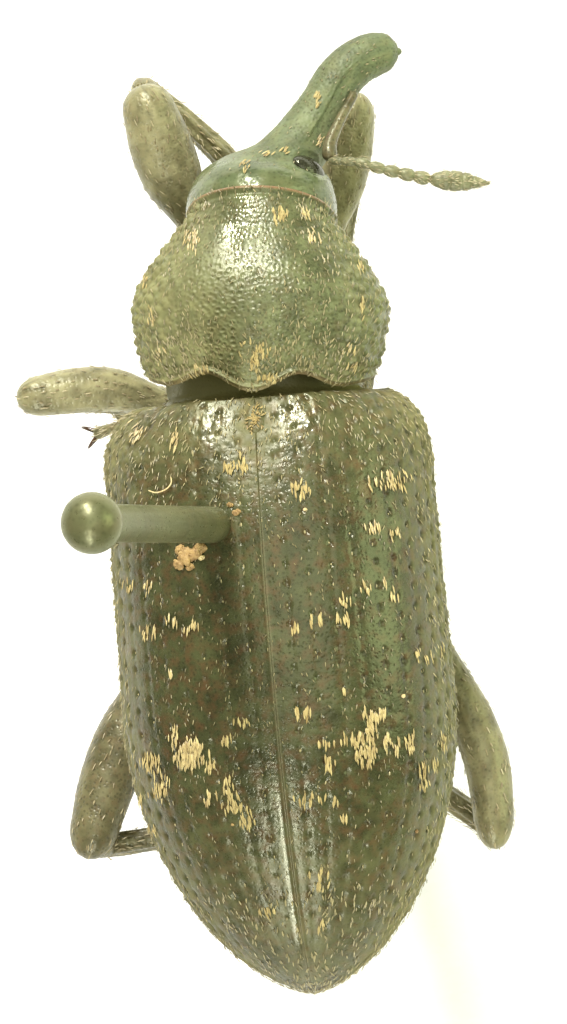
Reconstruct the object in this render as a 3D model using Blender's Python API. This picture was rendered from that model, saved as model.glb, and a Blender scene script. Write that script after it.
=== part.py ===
"""A long-snouted weevil, life size, on its insect pin over a small white display block.

The body is built in its own frame, in millimetres: +Y forward, +X to the right of a viewer who looks
down on the back, +Z up. Its origin is the middle of the base of the wing cases, level with their lower edge.
"""

import math

import bmesh
import bpy
import numpy as np
from mathutils import Matrix, Vector

MM = 0.001

# Clearances and wall thickness
JOINT_GAP = 0.2
SHELL_THICKNESS = 0.5
BORE_GAP = 0.15
SOCKET_GAP = 0.15

# Display block
BLOCK_WIDTH = 17.0
BLOCK_LENGTH = 22.0
BLOCK_HEIGHT = 5.0
BLOCK_CORNER = 2.0
BLOCK_EDGE = 0.4

# Insect pin
PIN_RADIUS = 0.25
PIN_HEAD_RADIUS = 0.47
PIN_HEAD_HEIGHT = 0.76
PIN_ABOVE_BACK = 10.0
PIN_SUNK = 4.0
PIN_X = -0.66
PIN_Y = -1.70

# The whole body on its pin
LOWEST_CLAW = 4.4
CLAW_CLEARANCE = 4.2
BODY_Z = BLOCK_HEIGHT + CLAW_CLEARANCE + LOWEST_CLAW
BODY_FORWARD = 1.6
BODY_ROLL = math.radians(3.4)

# Wing cases
CASE_LENGTH = 8.2
CASE_BASE_HALF = 1.62
CASE_SHOULDER_HALF = 2.26
CASE_WIDEST_HALF = 2.30
SHOULDER_END = 0.9
TAPER_START = 4.2
BACK_BASE_HEIGHT = 1.30
BACK_TOP_HEIGHT = 1.92
BACK_TOP_AT = 2.8
TIP_HEIGHT = -0.38
SOLID_TIP_START = 7.0
CASE_ROUNDNESS = 2.2
FURROWS = 10
FURROW_DEPTH = 0.055
SCUTELLUM_CENTRE = (0.0, -0.32, 0.95)
SCUTELLUM_HALVES = (0.16, 0.26, 0.48)

# Underside of the hind body
BELLY_DEPTH = 1.6
BELLY_INSET = 0.12
BELLY_ROUNDNESS = 2.3
CHEST_LENGTH = 3.1
ABDOMEN_PLATE_ENDS = (4.65, 5.75, 6.35, 6.90, 7.90)
PLATE_STEP = 0.05

# Prothorax
PRO_LENGTH = 2.61
PRO_BASE_Y = 0.30
PRO_YAW = math.radians(-5.0)
PRO_BASE_HALF = 1.54
PRO_WIDEST_HALF = 1.75
PRO_WIDEST_AT = 1.15
PRO_COLLAR_HALF = 1.02
PRO_COLLAR_LENGTH = 0.18
PRO_TOP_HEIGHT = 1.40
PRO_BOTTOM_HEIGHT = -1.12
PRO_LEAN = 0.70
PRO_ROUNDNESS = 2.15
GRAIN_HEIGHT = 0.035

# Head and snout, in the head's own frame
HEAD_CENTRE = (0.18, 2.49, -0.05)
HEAD_ROLL = math.radians(-68.0)
SKULL_PROFILE = ((-0.75, 0.82), (-0.45, 0.98), (-0.10, 1.09), (0.25, 1.08), (0.50, 1.00))
BROW_RINGS = (((0.64, -0.06), 0.07, 0.88, 0.91), ((0.75, -0.205), 0.157, 0.72, 0.74))
SNOUT_LINE = ((0.70, -0.36), (1.95, -1.155), (2.20, -2.05))
SNOUT_START = 0.1
SNOUT_LENGTH = 2.3
EYE_DIRECTION = (0.58, 0.65, -0.60)
EYE_DEPTH = 0.99
EYE_HALVES = (0.20, 0.28, 0.14)

# Legs: the middle of each coxa, the way the thigh leaves it, a point on the thigh, the knee, the side of the
# thigh on which the shin folds, the shin's end, the foot's end and half the thigh's greatest width
LEGS = {
    "front_left": dict(
        coxa=(-0.42, 1.75, -1.12), out=(-0.34, 0.40, -0.85), bow=(-1.13, 3.10, -1.62), knee=(-1.44, 4.40, -1.22),
        fold=(0.05, 0.0, -1.0), shin_end=(0.10, 2.90, -2.60), foot_end=(-0.35, 1.45, -3.05), half=0.44,
    ),
    "front_right": dict(
        coxa=(0.44, 1.62, -1.12), out=(0.30, 0.30, -0.90), bow=(1.13, 2.80, -2.10), knee=(1.53, 3.92, -1.80),
        fold=(0.0, 0.0, -1.0), shin_end=(0.72, 1.85, -3.78), foot_end=(-0.10, 0.80, -3.92), half=0.36,
    ),
    "middle_left": dict(
        coxa=(-0.72, -0.25, -1.42), out=(-0.62, 0.20, -0.75), bow=(-2.30, 0.36, -1.80), knee=(-3.46, 0.38, -1.50),
        fold=(0.0, 0.0, -1.0), shin_end=(-1.55, 0.10, -3.42), foot_end=(-2.88, -0.20, -4.05), half=0.32,
    ),
    "middle_right": dict(
        coxa=(0.72, -0.25, -1.42), out=(0.20, 0.10, -0.97), bow=(0.94, 0.35, -2.80), knee=(1.08, 1.00, -3.65),
        fold=(0.0, -1.0, -0.4), shin_end=(0.88, -1.10, -3.95), foot_end=(0.82, -2.55, -4.05), half=0.31,
    ),
    "hind_left": dict(
        coxa=(-1.20, -2.78, -1.28), out=(-0.55, -0.20, -0.81), bow=(-2.64, -4.80, -1.95), knee=(-3.04, -6.00, -1.70),
        fold=(0.36, 0.0, -0.93), shin_end=(-0.75, -5.62, -2.65), foot_end=(-0.45, -4.15, -3.00), half=0.41,
    ),
    "hind_right": dict(
        coxa=(1.20, -2.78, -1.28), out=(0.50, -0.25, -0.83), bow=(2.45, -5.00, -2.05), knee=(2.54, -6.34, -1.98),
        fold=(-0.20, 0.0, -0.98), shin_end=(0.88, -4.68, -2.85), foot_end=(0.80, -3.15, -3.15), half=0.32,
    ),
}
COXA_RADIUS = 0.40
HIND_COXA_HALVES = (0.66, 0.30, 0.40)
HIP_BEND = 0.28
THIGH_ROOT_HALF = 0.21
TOOTH_LENGTH = 0.16
SHIN_ROOT_HALF = 0.19
SHIN_MID_HALF = 0.22
SHIN_END_HALF = 0.26
SPUR_LENGTH = 0.18
FOOT_ROOT_HALF = 0.17
FOOT_LOBE_HALF = 0.34

# Feelers: the shaft in the head's own frame, the whip and the club in the body's
SHAFT_ROOT = (0.70, 1.64, -1.38)
SHAFT_ELBOW = (1.02, 0.80, -1.06)
SHAFT_HALF = 0.24
WHIPS = {
    "right": dict(bend=(2.00, 2.98, 0.44), neck=(2.56, 2.81, 0.34), tip=(3.38, 2.69, 0.20)),
    "left": dict(bend=(0.50, 3.44, -1.95), neck=(0.62, 3.68, -2.55), tip=(0.86, 4.00, -3.30)),
}
WHIP_BEADS = 7
WHIP_HALF = 0.23
WHIP_NECK_HALF = 0.17
CLUB_HALF = 0.27

# Colour, roughness and metallic value of each finish
FINISHES = {
    "back": ((0.060, 0.052, 0.030, 1.0), 0.32, 0.0),
    "prothorax": ((0.075, 0.068, 0.040, 1.0), 0.34, 0.0),
    "belly": ((0.050, 0.040, 0.024, 1.0), 0.40, 0.0),
    "head": ((0.070, 0.068, 0.042, 1.0), 0.36, 0.0),
    "leg": ((0.090, 0.072, 0.040, 1.0), 0.42, 0.0),
    "feeler": ((0.100, 0.088, 0.055, 1.0), 0.50, 0.0),
    "eye": ((0.012, 0.011, 0.010, 1.0), 0.15, 0.0),
    "pin": ((0.060, 0.065, 0.045, 1.0), 0.30, 0.8),
    "block": ((0.880, 0.875, 0.850, 1.0), 0.55, 0.0),
}


# Helpers

def clear_scene():
    for old in list(bpy.data.objects):
        bpy.data.objects.remove(old)


def make_frame(name, parent=None, location=(0, 0, 0), rotation=(0, 0, 0)):
    frame = bpy.data.objects.new(name, None)
    bpy.context.scene.collection.objects.link(frame)
    frame.parent = parent
    frame.location = Vector(location) * MM
    frame.rotation_euler = rotation
    return frame


def unit(vector):
    return Vector(vector).normalized()


def spread(first, last, count):
    """Evenly spaced values from first to last."""
    return [first + (last - first) * i / (count - 1) for i in range(count)]


def smooth_mesh(mesh):
    mesh.shade_smooth()
    mesh.set_sharp_from_angle(angle=math.radians(40))


def finish_piece(shaped, name, parent):
    """Makes an object of a closed bmesh, whose places are metres in the parent's frame."""
    many_sided = [face for face in shaped.faces if len(face.verts) > 4]
    bmesh.ops.triangulate(shaped, faces=many_sided)
    bmesh.ops.recalc_face_normals(shaped, faces=shaped.faces)
    mesh = bpy.data.meshes.new(name)
    shaped.to_mesh(mesh)
    shaped.free()
    smooth_mesh(mesh)
    piece = bpy.data.objects.new(name, mesh)
    bpy.context.scene.collection.objects.link(piece)
    piece.parent = parent
    return piece


def paint(piece, finish):
    """Gives the piece a material of its own."""
    colour, roughness, metallic = FINISHES[finish]
    material = bpy.data.materials.new(piece.name)
    material.use_nodes = True
    material.diffuse_color = colour
    shader = material.node_tree.nodes["Principled BSDF"]
    shader.inputs["Base Color"].default_value = colour
    shader.inputs["Roughness"].default_value = roughness
    shader.inputs["Metallic"].default_value = metallic
    piece.data.materials.clear()
    piece.data.materials.append(material)


def loft(name, rings, parent, first_tip=None, last_tip=None):
    """A closed skin over rings of as many points each. An end is a flat cap, or comes to a point."""
    shaped = bmesh.new()
    rows = [[shaped.verts.new(Vector(point) * MM) for point in ring] for ring in rings]
    for near, far in zip(rows, rows[1:]):
        for k in range(len(near)):
            shaped.faces.new((near[k - 1], near[k], far[k], far[k - 1]))
    for row, tip in ((rows[0], first_tip), (rows[-1], last_tip)):
        if tip is None:
            shaped.faces.new(row)
            continue
        apex = shaped.verts.new(Vector(tip) * MM)
        for k in range(len(row)):
            shaped.faces.new((row[k - 1], row[k], apex))
    return finish_piece(shaped, name, parent)


def ball(name, centre, halves, parent, turn=None, sides=14, bands=8):
    """An egg-shaped body with half sizes along its own axes, which turn may rotate."""
    shaped = bmesh.new()
    place = Matrix.Translation(Vector(centre) * MM)
    if turn:
        place = place @ turn.to_4x4()
    place = place @ Matrix.Diagonal((halves[0] * MM, halves[1] * MM, halves[2] * MM, 1))
    bmesh.ops.create_uvsphere(shaped, u_segments=sides, v_segments=bands, radius=1, matrix=place)
    return finish_piece(shaped, name, parent)


def turned(name, profile, centre, sides=20):
    """A solid turned about the vertical line through centre, from (radius, height) pairs that start and
    end on that line."""
    shaped = bmesh.new()
    corners = [shaped.verts.new(Vector((centre[0] + r, centre[1], z)) * MM) for r, z in profile]
    edges = [shaped.edges.new(pair) for pair in zip(corners, corners[1:])]
    bmesh.ops.spin(
        shaped, geom=corners + edges, cent=Vector((centre[0], centre[1], 0)) * MM, axis=(0, 0, 1),
        angle=2 * math.pi, steps=sides, use_merge=True,
    )
    bmesh.ops.remove_doubles(shaped, verts=shaped.verts, dist=0.001 * MM)
    return finish_piece(shaped, name, None)


def largest_surface(shaped):
    """The faces of the bmesh's largest connected surface."""
    unseen = set(shaped.faces)
    best = []
    while unseen:
        group = [unseen.pop()]
        for face in group:
            for edge in face.edges:
                fresh = [near for near in edge.link_faces if near in unseen]
                unseen.difference_update(fresh)
                group.extend(fresh)
        if sum(face.calc_area() for face in group) > sum(face.calc_area() for face in best):
            best = group
    return set(best)


def combine(piece, operation, others):
    """Joins or cuts the piece with closed mesh objects, which are removed. Its largest surface is kept."""
    group = bpy.data.collections.new(piece.name + "_others")
    bpy.context.scene.collection.children.link(group)
    for other in others:
        bpy.context.scene.collection.objects.unlink(other)
        group.objects.link(other)
    change = piece.modifiers.new(operation, "BOOLEAN")
    change.operation = operation
    change.operand_type = "COLLECTION"
    change.collection = group
    bpy.context.view_layer.update()
    graph = bpy.context.evaluated_depsgraph_get()
    combined = bpy.data.meshes.new_from_object(piece.evaluated_get(graph))
    piece.modifiers.clear()
    for other in others:
        bpy.data.objects.remove(other)
    bpy.data.collections.remove(group)

    shaped = bmesh.new()
    shaped.from_mesh(combined)
    kept = largest_surface(shaped)
    bmesh.ops.delete(shaped, geom=[face for face in shaped.faces if face not in kept], context="FACES")
    shaped.to_mesh(combined)
    shaped.free()
    smooth_mesh(combined)
    piece.data = combined


def smooth_line(knots, shares):
    """Points at the given shares of the length of a rounded line through the knots."""
    knots = np.array([tuple(knot) for knot in knots], float)
    padded = np.vstack([2 * knots[0] - knots[1], knots, 2 * knots[-1] - knots[-2]])
    fine = []
    for a, b, c, d in zip(padded, padded[1:], padded[2:], padded[3:]):
        for t in np.linspace(0, 1, 24, endpoint=False):
            bend = (2 * a - 5 * b + 4 * c - d) * t**2 + (3 * b - a - 3 * c + d) * t**3
            fine.append(b + ((c - a) * t + bend) / 2)
    fine = np.array([*fine, knots[-1]])
    steps = np.linalg.norm(np.diff(fine, axis=0), axis=1)
    travelled = np.concatenate([[0], np.cumsum(steps)])
    wanted = np.array(shares) * travelled[-1]
    return [Vector([np.interp(w, travelled, fine[:, k]) for k in range(3)]) for w in wanted]


def limb(name, line, halves, up, parent, sides=8, thorns=(), first_out=None, last_out=None):
    """A tube along a line, with its half width and half height at each point, and a rounded or flat end.

    A thorn (station, degrees, length, forward) draws one corner of a ring out into a tooth, lobe or hook.
    """
    rings = []
    for station, centre in enumerate(line):
        before = line[max(station - 1, 0)]
        after = line[min(station + 1, len(line) - 1)]
        ahead = unit(after - before)
        side = unit(ahead.cross(Vector(up)))
        top = side.cross(ahead)
        across, rise = halves[station]
        ring = []
        for k in range(sides):
            turn = 2 * math.pi * k / sides
            outward = side * math.cos(turn) + top * math.sin(turn)
            point = centre + side * across * math.cos(turn) + top * rise * math.sin(turn)
            for at, degrees, length, forward in thorns:
                if at == station and round(degrees / 360 * sides) % sides == k:
                    point = point + outward * length + ahead * forward
            ring.append(point)
        rings.append(ring)
    first_tip = None if first_out is None else line[0] + unit(line[0] - line[1]) * first_out
    last_tip = None if last_out is None else line[-1] + unit(line[-1] - line[-2]) * last_out
    return loft(name, rings, parent, first_tip, last_tip)


# Wing cases and hind body

def case_half_width(back):
    """Half the width across the wing cases, at a distance back from their base."""
    if back < SHOULDER_END:
        short = 1 - back / SHOULDER_END
        return CASE_BASE_HALF + (CASE_SHOULDER_HALF - CASE_BASE_HALF) * math.sqrt(1 - short**2)
    if back < TAPER_START:
        share = (back - SHOULDER_END) / (TAPER_START - SHOULDER_END)
        return CASE_SHOULDER_HALF + (CASE_WIDEST_HALF - CASE_SHOULDER_HALF) * share**2
    share = min(1, (back - TAPER_START) / (CASE_LENGTH - TAPER_START))
    return CASE_WIDEST_HALF * (1 - share**2) ** 0.69


def back_height(back):
    """Height of the back's ridge."""
    if back < BACK_TOP_AT:
        return BACK_TOP_HEIGHT - (BACK_TOP_HEIGHT - BACK_BASE_HEIGHT) * (1 - back / BACK_TOP_AT) ** 2
    share = min(1, (back - BACK_TOP_AT) / (CASE_LENGTH - BACK_TOP_AT))
    return TIP_HEIGHT + (BACK_TOP_HEIGHT - TIP_HEIGHT) * (1 - share**2.4) ** 0.62


def edge_height(back):
    """Height of the wing cases' lower edge."""
    return TIP_HEIGHT * (back / CASE_LENGTH) ** 1.5


def belly_height(back):
    """Height of the underside's midline."""
    share = (back / CASE_LENGTH) ** 2.6
    front_rise = 0.25 * max(0, 1 - back / 1.2) ** 2
    return -BELLY_DEPTH * (1 - share) ** 0.8 + (TIP_HEIGHT - JOINT_GAP) * share + front_rise


def arch(half, height, turn, roundness):
    """(x, z) on a rounded arch: turn 0 is the foot at +half, a half turn the foot at -half."""
    reach = abs(math.cos(turn)) ** (2 / roundness)
    return math.copysign(half * reach, math.cos(turn)), height * abs(math.sin(turn)) ** (2 / roundness)


def case_stations():
    """Distances back from the base, closer together where the outline bends."""
    front = [0.0, 0.10, 0.28, 0.55, SHOULDER_END]
    middle = spread(1.5, TAPER_START, 6)
    rear = [TAPER_START + (CASE_LENGTH - TAPER_START) * math.sin(turn) for turn in spread(0.2, 1.36, 9)]
    return [*front, *middle, *rear]


def case_hollow(parent):
    """The space under both wing cases, open in front and below, as a cutter."""
    rings = []
    stations = [back for back in case_stations() if 0.0 < back < SOLID_TIP_START]
    for back in [-1.0, 0.0, *stations, SOLID_TIP_START]:
        half = case_half_width(max(back, 0.0)) - SHELL_THICKNESS
        low = edge_height(max(back, 0.0))
        height = back_height(max(back, 0.0)) - SHELL_THICKNESS - low
        turns = [math.pi * k / 12 for k in range(13)]
        feet = [(-half, -back, low - 1.0), (half, -back, low - 1.0)]
        ring = []
        for turn in turns:
            x, z = arch(half, height, turn, CASE_ROUNDNESS)
            ring.append((x, -back, low + z))
        rings.append(ring + feet)
    return loft("case_hollow", rings, parent)


def wing_case(side, name, parent):
    """One wing case: a shell with furrows along it, open below and solid towards its tip."""
    points_across = 2 * FURROWS
    seam = side * JOINT_GAP / 2
    rings = []
    for back in case_stations():
        low = edge_height(back)
        height = back_height(back) - low
        fade = min(1, back / 0.5) * min(1, (CASE_LENGTH - back) / 1.5)
        ring = [(seam, -back, low)]
        for j in range(points_across + 1):
            x, z = arch(case_half_width(back), height, math.pi / 2 * (1 - j / points_across), CASE_ROUNDNESS)
            in_furrow = j % 2 == 1 and j < points_across - 1
            shrink = 1 - FURROW_DEPTH * fade * in_furrow / math.hypot(x, z)
            ring.append((side * max(JOINT_GAP / 2, x * shrink), -back, low + z * shrink))
        rings.append(ring)
    tip = (seam, -CASE_LENGTH, TIP_HEIGHT)
    case = loft(name, rings, parent, last_tip=tip)
    grown = [half + JOINT_GAP for half in SCUTELLUM_HALVES[:2]]
    notch = ball("notch", SCUTELLUM_CENTRE, (*grown, 3.0), parent)
    combine(case, "DIFFERENCE", [case_hollow(parent), notch])
    return case


def hind_ring(back, inset=0.0):
    """A ring round the hind body: the belly below, a ledge under the wing cases, a dome inside them."""
    half = case_half_width(max(back, 0.3))
    low = edge_height(back) - JOINT_GAP
    belly_half = half - BELLY_INSET - inset
    belly_depth = low - belly_height(back) - inset
    dome_half = max(belly_half / 3, half - SHELL_THICKNESS - JOINT_GAP)
    dome_fade = min(1, max(0, (SOLID_TIP_START - JOINT_GAP - back) / 0.4))
    dome_height = (back_height(back) - SHELL_THICKNESS - JOINT_GAP - low) * dome_fade
    ring = []
    for k in range(11):
        x, z = arch(belly_half, belly_depth, math.pi * k / 10, BELLY_ROUNDNESS)
        ring.append((x, -back, low - z))
    for k in range(9):
        x, z = arch(dome_half, dome_height, math.pi * k / 8, CASE_ROUNDNESS)
        ring.append((-x, -back, low + z))
    return ring


def chest(parent):
    """Middle and hind thorax in one, with the coxae of four legs and the scutellum."""
    neck = [(x * 0.68, -0.05, z * 0.75 - 0.08) for x, _, z in hind_ring(0.3)]
    rings = [neck] + [hind_ring(back) for back in spread(0.30, CHEST_LENGTH, 6)]
    body = loft("thorax", rings, parent)
    joined = [ball("scutellum", SCUTELLUM_CENTRE, SCUTELLUM_HALVES, parent)]
    for word, halves in (("middle", [COXA_RADIUS] * 3), ("hind", HIND_COXA_HALVES)):
        for side in ("left", "right"):
            joined.append(ball("coxa", LEGS[word + "_" + side]["coxa"], halves, parent))
    combine(body, "UNION", joined)
    return body


def abdomen(parent):
    """The five plates of the belly, each a small step over the next."""
    rings = []
    start = CHEST_LENGTH + JOINT_GAP
    for end in ABDOMEN_PLATE_ENDS:
        rings.append(hind_ring(start, PLATE_STEP))
        rings.append(hind_ring(start + 0.08))
        rings.append(hind_ring(end - 0.04, -0.01))
        start = end
    return loft("abdomen", rings, parent)


# Prothorax

def pro_half_width(y):
    if y < PRO_WIDEST_AT:
        swell = math.sin(math.pi / 2 * y / PRO_WIDEST_AT) ** 0.9
        return PRO_BASE_HALF + (PRO_WIDEST_HALF - PRO_BASE_HALF) * swell
    share = min(1, (y - PRO_WIDEST_AT) / (PRO_LENGTH - PRO_COLLAR_LENGTH - PRO_WIDEST_AT))
    return PRO_WIDEST_HALF - (PRO_WIDEST_HALF - PRO_COLLAR_HALF) * share**1.4


def pro_top(y):
    hump = 0.20 * math.sin(math.pi * min(1, y / 2.1))
    return PRO_TOP_HEIGHT + hump - 0.50 * max(0, (y - 1.05) / 1.5) ** 1.6


def pro_bottom(y):
    share = y / PRO_LENGTH
    return PRO_BOTTOM_HEIGHT - 0.10 * math.sin(math.pi * share) + 0.22 * share**2


def pro_ring(share, sides=40, grow=0.0, grain=0.0, odd=0):
    """A ring round the prothorax. The hind margin waves, and the front margin leans over the head."""
    y_mid = share * PRO_LENGTH
    top, bottom = pro_top(y_mid), pro_bottom(y_mid)
    ring = []
    for k in range(sides):
        turn = 2 * math.pi * k / sides
        up = math.sin(turn)
        sideways = abs(math.cos(turn))
        hind = max(0, up) * (0.22 * math.sin(math.pi * min(1, sideways / 0.8)) ** 2 - 0.05)
        front = PRO_LENGTH - PRO_LEAN * (1 - ((up + 1) / 2) ** 1.2)
        raised = grain * (0.4 + 0.6 * sideways) if up > -0.3 else 0.0
        if (k + odd) % 2:
            raised = -raised
        x, z = arch(pro_half_width(y_mid) + grow + raised, (top - bottom) / 2 + grow + raised, turn, PRO_ROUNDNESS)
        ring.append((x, hind + share * (front - hind), (top + bottom) / 2 + math.copysign(z, up)))
    return ring


def prothorax(parent, body_frame):
    """The first part of the thorax with its grained back and sides and the front legs' coxae."""
    shares = [0.0, 0.03, 0.12, 0.22, 0.32, 0.42, 0.52, 0.62, 0.72, 0.81, 0.89, 0.95, 1.0]
    rings = []
    for i, share in enumerate(shares):
        grain = GRAIN_HEIGHT if 0.05 < share < 0.9 else 0.0
        rings.append(pro_ring(share, grow=-0.06 if i == 0 else 0.0, grain=grain, odd=i))
    body = loft("prothorax", rings, parent)
    coxae = [ball("coxa", LEGS["front_" + side]["coxa"], [COXA_RADIUS] * 3, body_frame) for side in ("left", "right")]
    combine(body, "UNION", coxae)
    return body


def prothorax_room(parent):
    """The prothorax grown by the joint gap, which trims the back of the head."""
    rings = [pro_ring(share, 32, 1.3 * JOINT_GAP) for share in (0.1, 0.5, 0.75, 0.9, 1.0)]
    rings[-1] = [(x, y + JOINT_GAP, z) for x, y, z in rings[-1]]
    return loft("prothorax_room", rings, parent)


# Head and snout

def snout_point(share):
    """(y, z) on the snout's curved line."""
    near, bend, far = (Vector(knot) for knot in SNOUT_LINE)
    return (1 - share) ** 2 * near + 2 * share * (1 - share) * bend + share**2 * far


def snout_direction(share):
    near, bend, far = (Vector(knot) for knot in SNOUT_LINE)
    return ((1 - share) * (bend - near) + share * (far - bend)).normalized()


def snout_half_height(share):
    tip_taper = 0.09 * max(0, (share - 0.85) / 0.15) ** 2
    return 0.285 + 0.20 * (1 - share) ** 2.2 - tip_taper


def snout_half_width(share):
    swell = 0.04 * math.exp(-((share - 0.65) / 0.16) ** 2)
    return 0.27 + 0.18 * (1 - share) ** 2.2 + swell - 0.06 * max(0, (share - 0.85) / 0.15) ** 2


def facing_ring(centre, ahead, across, rise, sides):
    """A ring in the head's frame round (y, z), square to the (y, z) direction ahead."""
    ring = []
    for k in range(sides):
        turn = 2 * math.pi * k / sides
        lift = rise * math.sin(turn)
        ring.append((across * math.cos(turn), centre[0] - lift * ahead[1], centre[1] + lift * ahead[0]))
    return ring


def eye_place(side):
    """The middle of an eye and the turn that points its Z out of the head."""
    outward = unit((side * EYE_DIRECTION[0], EYE_DIRECTION[1], EYE_DIRECTION[2]))
    return outward * EYE_DEPTH, outward.to_track_quat("Z", "Y").to_matrix()


def eye(side, name, parent, grow=0.0):
    centre, turn = eye_place(side)
    return ball(name, centre, [half + grow for half in EYE_HALVES], parent, turn, 14, 8)


def head(parent, prothorax_frame):
    """The skull with its brow running into the snout's root, hollowed for the eyes."""
    sides = 20
    rings = [facing_ring((y, 0), (1, 0), radius, radius, sides) for y, radius in SKULL_PROFILE]
    for centre, lean, across, rise in BROW_RINGS:
        rings.append(facing_ring(centre, (math.cos(lean), -math.sin(lean)), across, rise, sides))
    root_halves = snout_half_width(SNOUT_START), snout_half_height(SNOUT_START)
    rings.append(facing_ring(snout_point(SNOUT_START), snout_direction(SNOUT_START), *root_halves, sides))
    skull = loft("head", rings, parent)
    sockets = [eye(side, "socket", parent, SOCKET_GAP) for side in (-1, 1)]
    combine(skull, "DIFFERENCE", [prothorax_room(prothorax_frame), *sockets])
    return skull


def snout(parent):
    """The snout beyond its thin joint, with the mouth's rim and two short jaws at the end."""
    sides = 16
    rings = []
    for share in spread(SNOUT_START + JOINT_GAP / SNOUT_LENGTH, 1.0, 12):
        halves = snout_half_width(share), snout_half_height(share)
        rings.append(facing_ring(snout_point(share), snout_direction(share), *halves, sides))
    end, ahead = snout_point(1.0), snout_direction(1.0)
    rings.append(facing_ring(end + ahead * 0.07, ahead, 0.16, 0.14, sides))
    body = loft("snout", rings, parent)
    jaws = []
    for side in (-1, 1):
        line = []
        for across, out in ((0.11, -0.05), (0.13, 0.12), (0.07, 0.24)):
            y, z = end + ahead * out
            line.append(Vector((side * across, y, z)))
        halves = [(0.09, 0.10), (0.08, 0.09), (0.04, 0.05)]
        jaws.append(limb("jaw", line, halves, (1, 0, 0), parent, sides=6, last_out=0.03))
    combine(body, "UNION", jaws)
    return body


# Feelers

def feeler_shaft(side, name, parent):
    root, elbow = Vector(SHAFT_ROOT), Vector(SHAFT_ELBOW)
    middle = (root + elbow) / 2 + Vector((0.06, 0, -0.04))
    knots = [Vector((side * knot.x, knot.y, knot.z)) for knot in (root, middle, elbow)]
    line = smooth_line(knots, spread(0, 1, 7))
    halves = [(SHAFT_HALF * share, SHAFT_HALF * share) for share in (0.85, 0.92, 0.96, 0.96, 1.0, 1.12, 1.0)]
    return limb(name, line, halves, (0, 0.4, 1), parent, last_out=0.06)


def elbow_in_body(side):
    """The shaft's far end, in the body's frame."""
    elbow = Vector((side * SHAFT_ELBOW[0], SHAFT_ELBOW[1], SHAFT_ELBOW[2]))
    return Vector(HEAD_CENTRE) + Matrix.Rotation(HEAD_ROLL, 3, "Y") @ elbow


def feeler_whip(side, where, name, parent):
    """Seven beads from the elbow to the club."""
    elbow, bend = elbow_in_body(side), Vector(where["bend"])
    start = elbow + unit(bend - elbow) * (SHAFT_HALF + JOINT_GAP)
    stops = [0.0]
    halves = [WHIP_NECK_HALF]
    for bead in range(WHIP_BEADS):
        stops += [(bead + 0.35) / WHIP_BEADS, (bead + 0.65) / WHIP_BEADS, (bead + 1) / WHIP_BEADS]
        halves += [WHIP_HALF, WHIP_HALF, WHIP_NECK_HALF]
    line = smooth_line([start, bend, where["neck"]], stops)
    return limb(name, line, [(half, half) for half in halves], (0, 0, 1), parent)


def feeler_club(where, name, parent):
    """The spindle-shaped club with the furrows between its four joints."""
    neck, tip = Vector(where["neck"]), Vector(where["tip"])
    start = neck + unit(tip - neck) * JOINT_GAP
    profile = [
        (0.00, 0.66), (0.12, 0.92), (0.28, 1.00), (0.40, 0.96), (0.44, 0.88), (0.48, 0.94), (0.62, 0.82),
        (0.66, 0.72), (0.70, 0.74), (0.86, 0.46), (0.97, 0.14),
    ]
    line = [start.lerp(tip, share) for share, _ in profile]
    halves = [(CLUB_HALF * size, CLUB_HALF * size) for _, size in profile]
    return limb(name, line, halves, (0, 0, 1), parent, last_out=0.03)


# Legs

def square_to(vector, axis):
    """The part of the vector that is square to the axis, at length 1."""
    axis = unit(axis)
    return unit(Vector(vector) - axis * axis.dot(Vector(vector)))


def thigh_half(leg, share):
    """Half the thigh's width: slender at its root, club-shaped beyond its middle."""
    club = math.exp(-(abs(share - 0.64) / 0.26) ** 3)
    return THIGH_ROOT_HALF + (leg["half"] - THIGH_ROOT_HALF) * club


def thigh(leg, name, parent):
    """A club-shaped femur from its coxa to the knee, with a tooth on its inner edge."""
    out = unit(leg["out"])
    coxa_halves = HIND_COXA_HALVES if "hind" in name else [COXA_RADIUS] * 3
    coxa_reach = Vector([half * way for half, way in zip(coxa_halves, out)]).length
    root = Vector(leg["coxa"]) + out * (coxa_reach + JOINT_GAP)
    hip = root + out * HIP_BEND
    stops = [0, 0.06, 0.13, 0.22, 0.34, 0.46, 0.56, 0.64, 0.71, 0.79, 0.87, 0.94, 1.0]
    line = smooth_line([root, hip, leg["bow"], leg["knee"]], stops)
    halves = [(thigh_half(leg, share), thigh_half(leg, share) * 0.95) for share in stops]
    tooth = [(stops.index(0.71), 270, TOOTH_LENGTH, 0.06)]
    return limb(name, line, halves, -Vector(leg["fold"]), parent, 12, tooth, last_out=0.08)


def shin_root(leg):
    """The top of the shin, which lies against the inner edge of the thigh's end."""
    knee = Vector(leg["knee"])
    inner_edge = square_to(leg["fold"], knee - Vector(leg["bow"]))
    return knee + inner_edge * (thigh_half(leg, 1.0) + JOINT_GAP + SHIN_ROOT_HALF)


def shin(leg, name, parent):
    """A tibia, a little bowed and wider at its end, where it bears a hook."""
    root, end = shin_root(leg), Vector(leg["shin_end"])
    foot_way = Vector(leg["foot_end"]) - end
    bow = (root + end) / 2 - square_to(foot_way, end - root) * 0.08
    stops = [0, 0.08, 0.20, 0.36, 0.54, 0.72, 0.86, 0.95, 1.0]
    halves = []
    for share in stops:
        half = SHIN_ROOT_HALF + (SHIN_MID_HALF - SHIN_ROOT_HALF) * min(1, share / 0.2)
        half += (SHIN_END_HALF - SHIN_MID_HALF) * max(0, (share - 0.7) / 0.3)
        halves.append((half, half * 0.92))
    halves[-1] = (SHIN_END_HALF * 0.86, SHIN_END_HALF * 0.80)
    hook = [(stops.index(0.95), 270, SPUR_LENGTH, 0.10)]
    line = smooth_line([root, bow, end], stops)
    return limb(name, line, halves, foot_way, parent, 10, hook, first_out=0.06)


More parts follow.
